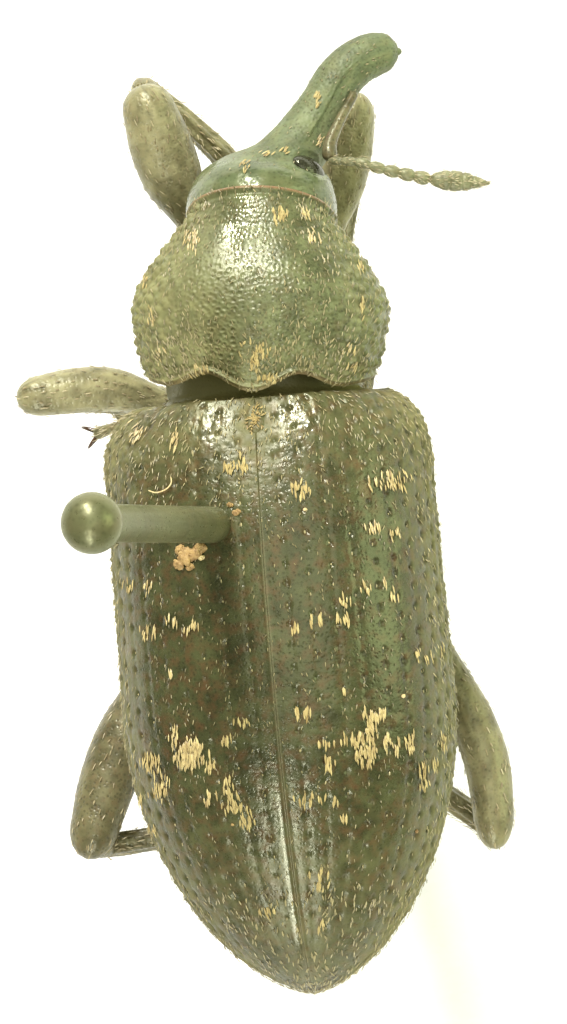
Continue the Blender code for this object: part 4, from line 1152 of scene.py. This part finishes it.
def coxa_grid(name):
    """A rounded hip drawn out towards its thigh, pitted and creased."""
    leg = LEGS[name]
    grid, rise, turn = ball_grid(40, 64, 0.04)
    out = unit(leg["out"])
    facing = np.clip(grid @ out, 0, 1)[..., None]
    pits = grains(turn * 0.4, rise * 0.4, 0.07, 71, 0.45, rare=0.3)
    swell = 1 - 0.05 * pits - 0.05 * ridge(facing[..., 0] - 0.62, 0.07)
    grid = grid * swell[..., None] * coxa_halves(name)
    sideways = grid - out * (grid @ out)[..., None]
    grid = grid - sideways * 0.30 * facing**2 + out * 0.16 * facing**3
    return grid + np.array(leg["coxa"])


def coxa_halves(name):
    return np.array(HIND_COXA_HALVES) if "hind" in name else np.full(3, COXA_RADIUS)


# Prothorax

def pro_half_width(y):
    swell = np.sin(math.pi / 2 * np.clip(y / PRO_WIDEST_AT, 0, 1)) ** 0.9
    rear = PRO_BASE_HALF + (PRO_WIDEST_HALF - PRO_BASE_HALF) * swell
    share = np.clip((y - PRO_WIDEST_AT) / (PRO_LENGTH - PRO_COLLAR_LENGTH - PRO_WIDEST_AT), 0, 1)
    front = PRO_WIDEST_HALF - (PRO_WIDEST_HALF - PRO_COLLAR_HALF) * share**1.4
    return np.where(y < PRO_WIDEST_AT, rear, front)


def pro_top(y):
    hump = 0.20 * np.sin(math.pi * np.clip(y / 2.1, 0, 1))
    return PRO_TOP_HEIGHT + hump - 0.36 * np.clip((y - 1.05) / 1.5, 0, None) ** 1.6


def pro_bottom(y):
    share = y / PRO_LENGTH
    return PRO_BOTTOM_HEIGHT - 0.10 * np.sin(math.pi * share) + 0.22 * share**2


def pro_grid(rows=240, columns=560):
    """The prothorax from hind margin to front margin; the first column lies under the body."""
    share = close_ends(rows, 0.25)[:, None]
    turn = np.linspace(-math.pi / 2, 3 * math.pi / 2, columns, endpoint=False)[None]
    turn = turn + 0.42 * np.cos(turn)
    y_mid = share * PRO_LENGTH
    top, bottom = pro_top(y_mid), pro_bottom(y_mid)
    up, sideways = np.sin(turn), np.abs(np.cos(turn))
    hind = np.clip(up, 0, None) * (0.24 * np.sin(math.pi * np.clip(sideways / 0.8, 0, 1)) ** 2 - 0.22)
    front = PRO_LENGTH - PRO_LEAN * (1 - ((up + 1) / 2) ** 1.2)
    x, z = arch(pro_half_width(y_mid), (top - bottom) / 2, turn, PRO_ROUNDNESS)
    grid = np.stack([x, hind + share * (front - hind), (top + bottom) / 2 + np.sign(up) * z], axis=-1)

    round_way = (turn + math.pi / 2) * 1.5
    forward = grid[..., 1]
    upper = soft_step(-0.45, -0.05, up)
    flank = soft_step(0.50, 0.82, sideways) * upper
    fore = soft_step(1.1, 1.9, forward) * (1 - flank)
    rear = (1 - fore) * (1 - flank) * upper
    inside = soft_step(0.0, 0.08, share) * soft_step(1.0, 0.95, share)
    heights = 0 * forward
    heights += 0.062 * flank * grains(round_way, forward, 0.140, 41, 0.60)
    away, tag = cells(round_way, forward, 0.095, 42)
    coarse = rear * soft_step(2.0, 1.5, forward)
    coarse = coarse * (1 + 0.5 * ridge(grid[..., 0] + 0.5, 0.45))
    heights += coarse * (0.007 * ridge(away - 0.44, 0.10) - 0.010 * bump(away, 0.36)) * (0.3 + 0.7 * tag)
    # Painted shade in the coarse pits and, below, between the fine grains
    pits = 0.20 * coarse * bump(away, 0.34)
    away, tag = cells(round_way, forward, 0.060, 43)
    heights += (0.002 * fore + 0.003 * rear + 0.002) * bump(away, 0.52) * (0.4 + 0.6 * tag)
    pits = np.maximum(pits, (0.35 * fore + 0.25 * rear) * (1 - bump(away, 0.70)))
    heights += 0.002 * ripple(round_way, forward, 0.3, 44)
    heights *= inside * (0.35 + 0.65 * upper)
    from_hind = (share * (front - hind)) + 0 * forward
    heights += (0.030 * ridge(from_hind - 0.065, 0.022) - 0.020 * ridge(from_hind - 0.12, 0.03)) * upper
    from_front = (1 - share) * (front - hind)
    heights += 0.020 * ridge(from_front - 0.03, 0.028) - 0.018 * ridge(from_front - 0.10, 0.03)
    grid = raised(grid, heights, True, 1)
    rim = soft_step(0.055, 0.015, from_front) + 0.45 * soft_step(0.08, 0.03, from_hind) * upper
    specks = speckles(round_way, forward, 0.12, 45)
    # Painted light: the left side, and the hind part near the left, are painted paler as a glow of light
    # under the dust mark; the flanks and the hind edge carry dust.
    left = soft_step(0.1, -1.3, grid[..., 0]) * upper
    dust = 0.55 * flank * specks + 0.5 * soft_step(0.7, 0.2, forward) * specks * upper
    dust = dust + left * (0.38 + 0.5 * specks)
    near_left = ridge(grid[..., 0] + 0.55, 0.50)
    polish = (0.85 * fore * ridge(grid[..., 0] + 0.22, 0.24) + 0.15 * rear * near_left) * upper * inside
    dust = np.clip(np.clip(dust, 0, 1) * 0.6 + 0.24 * rear * near_left * (0.5 + specks), 0, 1)
    return grid, dict(dust=dust, rim=rim, pit=pits * upper * inside, polish=polish)


def prothorax():
    grid, marks = pro_grid()
    lips = [
        grid[0] * (shrink, 1, shrink) + (0, inward, 0.05 * (1 - shrink))
        for shrink, inward in ((0.70, 0.25), (0.88, 0.08), (0.965, 0.012))
    ]
    fronts = [
        grid[-1] * (shrink, 1, shrink) + (0, -inward, 0)
        for shrink, inward in ((0.975, 0.012), (0.93, 0.10), (0.88, 0.30))
    ]
    whole = np.concatenate([np.stack(lips), grid, np.stack(fronts)])
    padded = {mark: np.pad(values, ((3, 3), (0, 0)), mode="edge") for mark, values in marks.items()}
    shell = Shell().grid(whole, PROTHORAX, **padded)
    for word in ("front_left", "front_right"):
        shell.grid(coxa_grid(word), BODY, dust=0.1, rim=0.0, pit=0.0, polish=0.0)
    shell.piece("prothorax_skin", "chest", "prothorax", ("prothorax",))
    return Skin(grid, PROTHORAX, True, 1)


# Head

def head_grid(rows=250, columns=150):
    """Skull and snout as one skin; the first column is its right side."""
    stations = np.array([(*middle, *way, across, rise) for middle, way, across, rise in HEAD_RINGS])
    steps = np.linalg.norm(np.diff(stations[:, :2], axis=0), axis=1)
    run = np.concatenate([[0], np.cumsum(steps)])
    places = np.linspace(0, run[-1], rows)
    slopes = np.gradient(stations, run, axis=0)
    spot = np.clip(np.searchsorted(run, places, side="right") - 1, 0, len(run) - 2)
    width = (run[spot + 1] - run[spot])[:, None]
    t = (places - run[spot])[:, None] / width
    value = (
        (2 * t**3 - 3 * t**2 + 1) * stations[spot] + (t**3 - 2 * t**2 + t) * width * slopes[spot]
        + (3 * t**2 - 2 * t**3) * stations[spot + 1] + (t**3 - t**2) * width * slopes[spot + 1]
    )
    middle, way = value[:, :2], unit(value[:, 2:4])
    turn = full_turn(columns)
    lift = value[:, 5:6] * np.sin(turn)
    grid = np.stack([
        value[:, 4:5] * np.cos(turn), middle[:, :1] - lift * way[:, 1:2], middle[:, 1:2] + lift * way[:, :1],
    ], axis=-1)
    round_way, forward = turn * 0.62, places[:, None]
    on_snout = soft_step(1.6, 2.2, forward)
    heights = 0 * grid[..., 0]
    heights -= 0.011 * grains(round_way * (1 - 0.3 * on_snout), forward, 0.070, 51, 0.45, 0.3)
    heights += 0.0035 * grains(round_way, forward, 0.040, 52, 0.7, 0)
    heights += 0.002 * ripple(round_way, forward, 0.25, 53)
    groove = ridge(np.abs(np.cos(turn)) - 1, 0.10)
    groove = groove * soft_step(1.75, 2.2, forward) * soft_step(3.3, 3.0, forward)
    heights -= 0.035 * groove * (np.sin(turn) < 0.1)
    for side in (-1, 1):
        centre = EYE_DEPTH * unit((side * EYE_DIRECTION[0], EYE_DIRECTION[1], EYE_DIRECTION[2]))
        away = np.linalg.norm(grid - centre, axis=2)
        heights += 0.022 * ridge(away - 0.29, 0.04)
    grid = raised(grid, heights, True, 1)
    specks = speckles(round_way, forward, 0.12, 54)
    polish = 0.8 * soft_step(1.5, 1.25, forward) + 0 * specks
    return grid, np.clip(specks - 0.35, 0, 1) * 0.35, polish


def head():
    grid, dust, polish = head_grid()
    shell = Shell().grid(grid, HEAD, dust=dust, polish=polish)
    for side in (-1, 1):
        knots = [(side * 0.09, 2.15, -2.03), (side * 0.09, 2.17, -2.11), (side * 0.04, 2.17, -2.16)]
        shares = close_ends(24)
        thick = 0.060 * rounded_ends(shares, 0, 0.5)
        jaw = tube(smooth_line(knots, shares), thick, thick * 1.1, (1, 0, 0), 20)
        shell.grid(jaw, HEAD, dust=0.0, polish=0.0)
    shell.piece("head_skin", "head", "head", ("head", "snout"))
    return Skin(grid, HEAD, True, 1)


def eyes():
    for side, word in ((-1, "left"), (1, "right")):
        way = Vector((side * EYE_DIRECTION[0], EYE_DIRECTION[1], EYE_DIRECTION[2])).normalized()
        turn = way.to_track_quat("Z", "Y").to_matrix()
        ball = ball_grid(48, 72, 0.03)[0]
        ball = ball * np.array(EYE_HALVES) @ np.array(turn).T + np.array(way * EYE_DEPTH)
        Shell().grid(ball, HEAD).piece("eye_" + word + "_facets", "eye", "eye", ("eye_" + word,))


# Feelers

def feelers():
    """Shaft, beaded whip and club on both sides. Returns the skins of whips and clubs, for their hairs."""
    skins = []
    for side, word in ((-1, "left"), (1, "right")):
        left = 0.0 if side < 0 else 0.5
        where = WHIPS[word]

        knots = [(side * x, y, z) for x, y, z in SHAFT_KNOTS]
        shares = close_ends(70)
        thick = (0.062 + 0.055 * shares**2.2) * rounded_ends(shares, 0.06, 0.10)
        shaft = tube(smooth_line(knots, shares), thick, thick, (0, 0.4, 1), 32)

        elbow = np.array((BODY.inverted() @ HEAD @ (Vector(knots[-1]) * MM)) / MM)
        middle = (elbow + np.array(where["bend"])) / 2 + (0, 0.04, 0.10)
        knots = [elbow, middle, where["bend"], where["neck"]]
        shares = np.linspace(0, 1, 190)
        along = shares * WHIP_BEADS % 1
        longer = np.where(shares * WHIP_BEADS < 2, 0.9, 1.0)
        bead = np.clip(np.sin(math.pi * np.clip(along, 0.02, 0.98)) ** 0.45, 0.3, 1)
        thick = (0.038 + 0.044 * bead * (0.85 + 0.15 * along)) * longer * (0.80 + 0.45 * shares)
        whip = tube(smooth_line(knots, shares), thick, thick, (0, 0, 1), 28)

        neck, tip = np.array(where["neck"]), np.array(where["tip"])
        shares = close_ends(110)
        outline = np.interp(shares, *CLUB_OUTLINE)
        for seam in CLUB_SEAMS:
            outline = outline - 0.09 * ridge(shares - seam, 0.018)
        thick = CLUB_HALF * outline
        club = tube(neck + (tip - neck) * shares[:, None], thick, thick, (0, 0, 1), 36)

        parts = (
            ("shaft", shaft, HEAD, "leg"),
            ("whip", whip, BODY, "feeler"),
            ("club", club, BODY, "feeler"),
        )
        for part, grid, place, finish in parts:
            node = "antenna_" + part + "_" + word
            Shell().grid(grid, place).piece(node + "_skin", finish, "feeler", (node,))
        skins.append(Skin(whip, BODY, True, 1, (left, 0, 0.24, 1)))
        skins.append(Skin(club, BODY, True, 1, (left + 0.25, 0, 0.24, 1)))
    return skins


# Legs

def square_to(vector, axis):
    axis = unit(axis)
    vector = np.asarray(vector, float)
    return unit(vector - axis * axis.dot(vector))


def thigh_half(leg, share):
    club = np.exp(-((np.abs(share - 0.64) / 0.26) ** 3))
    near = THIGH_ROOT_HALF + (leg["knee_half"] - THIGH_ROOT_HALF) * soft_step(0.6, 1.0, share)
    return near + (leg["half"] - near) * club


def pitted(grid, seed, depth=0.010, size=0.085, girth=1.6):
    """A tube with fine pits and uneven skin."""
    rows, columns = grid.shape[:2]
    along = np.concatenate([[0], np.cumsum(np.linalg.norm(np.diff(grid.mean(1), axis=0), axis=1))])[:, None]
    round_way = np.linspace(0, girth, columns, endpoint=False)[None]
    heights = 0.003 * ripple(round_way, along, 0.22, seed + 1)
    heights = heights - depth * grains(round_way, along, size, seed, 0.5)
    number = np.arange(rows)[:, None]
    return raised(grid, heights * soft_step(0, 5, number) * soft_step(rows - 1, rows - 6, number), True, 1)


def thigh_grid(leg, name):
    coxa, out = np.array(leg["coxa"]), unit(leg["out"])
    root = coxa + out * (np.linalg.norm(coxa_halves(name) * out) + JOINT_GAP)
    apex = np.array(leg["knee"]) + unit(np.array(leg["knee"]) - np.array(leg["bow"])) * 0.14
    knots = [root - out * THIGH_INSIDE, root, root + out * HIP_BEND, leg["bow"], apex]
    start = THIGH_INSIDE / (np.linalg.norm(apex - root) + THIGH_INSIDE)
    shares = close_ends(120)
    along = np.clip((shares - start) / (1 - start), 0, 1)
    half = thigh_half(leg, along) * np.interp(shares, [0, start * 0.8, start * 1.3, 1], [0.60, 0.78, 1, 1])
    half = half * rounded_ends(shares, 0, 0.11)
    grid = tube(smooth_line(knots, shares), half, half * 0.95, -np.array(leg["fold"]), 64)
    tooth = ridge(along[:, None] - 0.72, 0.045) * ridge(full_turn(64) - 1.5 * math.pi, 0.42)
    grid = raised(grid, 0.15 * tooth, True, 1)
    return pitted(grid, len(name) * 7 + 1, 0.012, 0.095, 2.0)


def shin_root(leg):
    inner = square_to(leg["fold"], np.array(leg["knee"]) - np.array(leg["bow"]))
    return np.array(leg["knee"]) + inner * (THIGH_ROOT_HALF + JOINT_GAP + SHIN_ROOT_HALF)


def shin_grid(leg, name):
    knee, end = np.array(leg["knee"]), np.array(leg["shin_end"])
    back = unit(np.array(leg["bow"]) - knee)
    root = shin_root(leg) + back * leg["shin_back"]
    foot_way = np.array(leg["foot_end"]) - end
    bow = (root + end) / 2 - square_to(foot_way, end - root) * 0.08
    inside = knee + back * 0.30 + (root - knee) * 0.12
    shares = close_ends(120)
    elbow = knee * 0.45 + root * 0.55 + back * 0.04
    line = smooth_line([inside, elbow, root, bow, end], shares)
    half = np.interp(shares, *SHIN_OUTLINE) * rounded_ends(shares, 0.05, 0.02)
    grid = tube(line, half, half * 0.88, foot_way, 56, 2.3)
    middle = soft_step(0.15, 0.3, shares) * soft_step(0.97, 0.9, shares)
    grid = raised(grid, 0.012 * np.cos(full_turn(56) * 7) * middle[:, None], True, 1)
    return pitted(grid, len(name) * 5 + 2, 0.008, 0.08, 1.2)


def shin_hook(leg):
    """The curved hook at the inner side of the shin's end."""
    end = np.array(leg["shin_end"])
    ahead = unit(end - shin_root(leg))
    inner = -square_to(np.array(leg["foot_end"]) - end, ahead)
    shares = close_ends(30)
    knots = [
        end - ahead * 0.10 + inner * 0.14, end + ahead * 0.02 + inner * 0.22,
        end + ahead * 0.16 + inner * 0.17, end + ahead * 0.22 + inner * 0.08,
    ]
    thick = 0.050 * (1 - shares) ** 0.8 + 0.006
    return tube(smooth_line(knots, shares), thick, thick, np.cross(ahead, inner), 16)


def foot_shells(leg):
    """Two wedge-shaped joints, the two-lobed one and the claw joint, and the two claws."""
    end, toe = np.array(leg["shin_end"]), np.array(leg["foot_end"])
    ahead = unit(toe - end)
    side = unit(np.cross(ahead, (0, 0, 1)))
    top = np.cross(side, ahead)
    line_knots = [end, (end + toe) / 2 + (0, 0, -0.05), toe]
    long = np.linalg.norm(toe - end)
    shells = []
    for first, last, near, far, high in FOOT_WEDGES:
        shares = np.linspace(0, 1, 36)
        half = (near + (far - near) * shares**1.1) * rounded_ends(shares, 0.10, 0.14)
        line = smooth_line(line_knots, first + (last - first) * shares)
        shells.append(pitted(tube(line, half, high * half / far * 1.15, top, 40), 12, 0.006, 0.06, 1.0))
    for way in (-1, 1):
        shares = np.linspace(0, 1, 40)
        aside = (0.05 + 0.16 * shares**0.8)[:, None]
        line = smooth_line(line_knots, 0.42 + 0.29 * shares) + side * way * aside - top * 0.03
        half = (0.075 + 0.075 * np.sin(math.pi * shares * 0.75)) * rounded_ends(shares, 0.15, 0.35)
        shells.append(pitted(tube(line, half, half * 0.62, top, 36), 14, 0.006, 0.06, 0.9))
    shares = np.linspace(0, 1, 50)
    line = smooth_line(line_knots, 0.46 + 0.50 * shares) + top * 0.05 * np.sin(math.pi * shares)[:, None]
    half = (0.050 + 0.052 * shares**1.5) * rounded_ends(shares, 0.05, 0.12)
    shells.append(pitted(tube(line, half, half * 0.9, top, 32), 16, 0.004, 0.06, 0.6))
    claws = []
    for way in (-1, 1):
        shares = np.linspace(0, 1, 30)
        base = toe - ahead * 0.06 * long
        knots = [
            base + side * way * 0.04,
            base + ahead * 0.10 + side * way * 0.11 + top * 0.03,
            base + ahead * 0.20 + side * way * 0.15 - top * 0.02,
            base + ahead * 0.24 + side * way * 0.14 - top * 0.10,
        ]
        thick = 0.034 * (1 - shares) ** 0.7 + 0.004
        claws.append(tube(smooth_line(knots, shares), thick, thick, top, 14))
    return shells, claws


def dusted(grid, amount, seed):
    """Uneven dust over a tube; its amount is partly painted light that makes the leg paler."""
    rows, columns = grid.shape[:2]
    round_way = 2 * np.abs(np.sin(np.linspace(0, math.pi, columns, endpoint=False)))[None]
    specks = speckles(round_way, np.linspace(0, 3.5, rows)[:, None], 0.17, seed)
    return np.clip(amount * (0.35 + 1.3 * specks), 0, 1)


def legs():
    """All six legs. Returns their skins, for the scales and hairs."""
    skins = {}
    for number, (name, leg) in enumerate(LEGS.items()):
        tubes = {"thigh": (thigh_grid(leg, name), 201, 1.0), "shin": (shin_grid(leg, name), 211, 0.8)}
        for part, (grid, seed, share) in tubes.items():
            node = part + "_" + name
            # Dust with painted light, paler on the legs given more
            dust = dusted(grid, leg["dust"] * share, seed + number)
            Shell().grid(grid, BODY, dust=dust).piece(node + "_skin", "leg", "leg", (node,))
        shells, claws = foot_shells(leg)
        foot, horn = Shell(), Shell()
        for grid in shells:
            foot.grid(grid, BODY, dust=0.2)
        for grid in (*claws, shin_hook(leg)):
            horn.grid(grid, BODY)
        foot.piece("foot_" + name + "_skin", "leg", "leg", ("foot_" + name,))
        horn.piece("claws_" + name, "claw", "leg")
        # grid, which way its columns turn, the low edge and the height of its place on the unwrap
        carriers = {
            ("hip", name): (coxa_grid(name), -1, 0.94, 0.05),
            ("thigh", name): (tubes["thigh"][0], 1, 0.0, 0.3),
            ("shin", name): (tubes["shin"][0], 1, 0.33, 0.3),
        }
        for k, grid in enumerate(shells):
            carriers["foot", name, k] = (grid, 1, 0.66 + 0.06 * k, 0.05)
        for key, (grid, sign, low, height) in carriers.items():
            skins[key] = Skin(grid, BODY, True, sign, (number / 6, low, 0.15, height))
    return skins


# Pin and block

def pin_place():
    """Where the pin leaves the back, in the world, in millimetres."""
    low = float(edge_height(-PIN_Y))
    half = float(case_half_width(np.array(-PIN_Y)))
    turn = math.acos((abs(PIN_X) / half) ** (CASE_ROUNDNESS / 2))
    _, rise = arch(half, float(back_height(np.array(-PIN_Y))) - low, turn, CASE_ROUNDNESS)
    return (BODY @ (Vector((PIN_X, PIN_Y, low + float(rise))) * MM)) / MM


def pin():
    place = pin_place()
    top = place.z + PIN_ABOVE_BACK
    point, taper, full = (BLOCK_HEIGHT - depth for depth in PIN_DEPTHS)
    profile = [(PIN_POINT_RADIUS, point), (PIN_RADIUS * PIN_TAPER, taper)]
    for height in np.linspace(full, top - PIN_HEAD_HEIGHT, 160):
        profile.append((PIN_RADIUS, height))
    for lean in np.linspace(-1.00, math.pi / 2 - 0.02, 40):
        profile.append((PIN_HEAD_RADIUS * math.cos(lean), top - PIN_HEAD_HEIGHT / 2 * (1 - math.sin(lean))))
    radius, height = np.array(profile).T[:, :, None]
    turn = full_turn(56)
    uneven = 1 + 0.006 * ripple(turn * 3, height, 0.8, 81)
    x = place.x + radius * uneven * np.cos(turn)
    y = place.y + radius * uneven * np.sin(turn)
    grid = np.stack([x, y, height + 0 * turn], axis=-1)
    Shell().grid(grid, Matrix.Identity(4)).piece("pin_shaft_and_head", "pin", "pin", ("pin",))


def block():
    """The display block keeps its own shape and takes the lacquer."""
    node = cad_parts["stand_block"]
    node.data.materials.clear()
    node.data.materials.append(finishes["block"])


# Crumbs and the stray hair

def crumb(name, pixel, size, flatness, finish, skins, seed):
    """A rough lump lying on the skin that the pixel shows."""
    skin, place = seen_skin(pixel, skins)
    point, normal, along, _ = (values[0] for values in skin.roots([place]))
    ball = ball_grid(34, 52, 0.05)[0]
    lumps = 0 * ball[..., 0]
    for number, reach in enumerate((0.9, 0.4, 0.2, 0.11)):
        wave = ripple(ball[..., 0] + 3, ball[..., 1] + 3 + ball[..., 2], reach, seed + number)
        lumps += wave * (0.45 * reach + 0.03)
    ball = ball * (1 + lumps)[..., None] * np.array((1.0, 0.85, flatness)) * size / 2
    axes = np.stack([np.cross(along, normal), along, normal])
    grid = ball @ axes + point / MM + normal * size * flatness * 0.25
    Shell().grid(grid, Matrix.Identity(4)).piece(name, finish, "back")


def seen_skin(pixel, skins):
    """The first of the skins that the pixel shows, and the row and column it shows."""
    for skin in skins:
        place = skin.hit(pixel)
        if place is not None:
            return skin, place
    return None


def stray_hair(skins):
    points = []
    for pixel in STRAY_HAIR:
        skin, place = seen_skin(pixel, skins)
        point, normal, _, _ = (values[0] for values in skin.roots([place]))
        points.append(point / MM + normal * 0.05)
    shares = np.linspace(0, 1, 50)
    thick = 0.009 * rounded_ends(shares, 0.1, 0.1)
    grid = tube(smooth_line(points, shares), thick, thick, (0, 0, 1), 12)
    Shell().grid(grid, Matrix.Identity(4)).piece("stray_hair", "husk", "back")


# Scales and hairs

def scattered(skin, count, keep=lambda row, column: True):
    """Random rows and columns of a skin, where row and column shares pass keep."""
    places = []
    tries = 0
    while len(places) < count and tries < count * TRIES:
        tries += 1
        row, column = draw.random(), draw.random()
        if keep(row, column):
            places.append((int(row * (skin.rows - 2)) + 1, int(column * (skin.columns - 2)) + 1))
    return places


def back_coat(skins, scutellum_skin):
    def base_zone(row, column):
        return draw.random() < 1.1 * math.exp(-((row * CASE_LENGTH - 0.30) / 0.80) ** 2)

    batches = [(scutellum_skin, scattered(scutellum_skin, 70), "scutellum")]
    batches += [(skin, clump_places(skin, BACK_CLUMPS), "back clump") for skin in skins]
    coat("back_scale_clumps", batches, "scales")
    batches = []
    for skin in skins:
        batches.append((skin, scattered(skin, 300, base_zone), "base"))
        batches.append((skin, scattered(skin, 900), "back"))
        batches.append((skin, scattered(skin, 420, lambda row, column: column > 0.72), "flank"))
        batches.append((skin, scattered(skin, 260, lambda row, column: row > 0.82), "tip"))
        batches.append((skin, row_places(skin), "puncture"))
    coat("back_fine_scales", batches, "fine_scales")


def row_places(skin):
    """One small scale at the front of many of the punctures."""
    places = []
    for row in range(PUNCTURE_ROWS):
        for number in range(int(CASE_LENGTH / PUNCTURE_SPACING)):
            if draw.random() < 0.55:
                back = number * PUNCTURE_SPACING - ROW_SKEW * row + 0.02
                if 0.1 < back < 7.2:
                    column = int(row_share(row) * (skin.columns - 1))
                    places.append((int(back / CASE_EVEN_LENGTH * (skin.rows - CASE_TIP_ROWS)), column))
    return places


def chest_coat(skin, head_skin):
    def upper(row, column):
        return abs(column - 0.5) < 0.36

    def flank(row, column):
        return 0.14 < abs(column - 0.5) < 0.36

    def hind(row, column):
        return abs(column - 0.5) < 0.25 and draw.random() < math.exp(-((row - 0.05) / 0.22) ** 2)

    coat("prothorax_scale_clumps", [
        (skin, clump_places(skin, CHEST_CLUMPS), "chest clump"),
        (head_skin, clump_places(head_skin, HEAD_CLUMPS), "head clump"),
    ], "scales")
    coat("prothorax_fine_scales", [
        (skin, scattered(skin, 900, upper), "chest"),
        (skin, scattered(skin, 620, flank), "chest flank"),
        (skin, scattered(skin, 420, hind), "chest hind"),
        (skin, scattered(skin, 300), "chest round"),
        (head_skin, scattered(head_skin, 420), "head"),
    ], "fine_scales")


def leg_coat(skins):
    # part of the leg: count, first share of its length that carries them, kind
    kinds = {
        "hip": ((110, 0, "hip hair"),),
        "thigh": ((260, 0.14, "thigh hair"),),
        "shin": ((260, 0.15, "shin hair"), (90, 0.93, "shin fringe")),
        "foot": ((90, 0, "foot hair"),),
    }
    batches = []
    for key, skin in skins.items():
        for count, first, kind in kinds[key[0]]:
            places = scattered(skin, count, lambda row, column: row > first or not first)
            batches.append((skin, places, kind))
    coat("leg_hairs", batches, "hairs")


def other_coats(belly_skin, feeler_skins):
    coat("underside_scales", [(belly_skin, scattered(belly_skin, 1500), "belly")], "fine_scales")
    batches = [(skin, scattered(skin, 260), "feeler hair") for skin in feeler_skins]
    coat("antenna_hairs", batches, "hairs")


# Studio

def studio():
    half = FLOOR_HALF
    floor = bpy.data.meshes.new("floor")
    corners = [(-half, -half, 0), (half, -half, 0), (half, half, 0), (-half, half, 0)]
    floor.from_pydata(corners, [], [(0, 1, 2, 3)])
    plain, _, shader = new_material("pale_floor")
    shader.inputs["Base Color"].default_value = (*FLOOR_COLOUR, 1)
    shader.inputs["Roughness"].default_value = FLOOR_ROUGHNESS
    floor.materials.append(plain)
    piece = bpy.data.objects.new("floor", floor)
    bpy.context.scene.collection.objects.link(piece)

    world = bpy.data.worlds.new("soft_light")
    world.use_nodes = True
    world.node_tree.nodes["Background"].inputs["Color"].default_value = (*SKY_COLOUR, 1)
    world.node_tree.nodes["Background"].inputs["Strength"].default_value = SKY_STRENGTH
    bpy.context.scene.world = world
    bpy.context.scene.view_settings.view_transform = "Standard"
    for name, way, distance, size, watts, colour in LAMPS:
        lamp = bpy.data.lights.new(name, "AREA")
        lamp.shape = "ELLIPSE" if size[0] > STRIP_LAMP_WIDTH else "RECTANGLE"
        lamp.size, lamp.size_y = size
        lamp.energy = watts
        lamp.color = colour
        light = bpy.data.objects.new(name, lamp)
        light.location = BODY.translation + Vector(way).normalized() * distance
        light.rotation_euler = Vector(way).to_track_quat("Z", "Y").to_euler()
        bpy.context.scene.collection.objects.link(light)


def main():
    camera()
    case_skins = wing_cases()
    scutellum_skin = scutellum()
    belly_skin = belly()
    chest_skin = prothorax()
    head_skin = head()
    eyes()
    feeler_skins = feelers()
    leg_skins = legs()
    pin()
    block()
    for number, (pixel, size, flatness, finish) in enumerate(CRUMBS):
        crumb("crumb_%02d" % number, pixel, size, flatness, finish, case_skins, 100 + number)
    stray_hair(case_skins)
    back_coat(case_skins, scutellum_skin)
    chest_coat(chest_skin, head_skin)
    leg_coat(leg_skins)
    other_coats(belly_skin, feeler_skins)
    studio()


main()
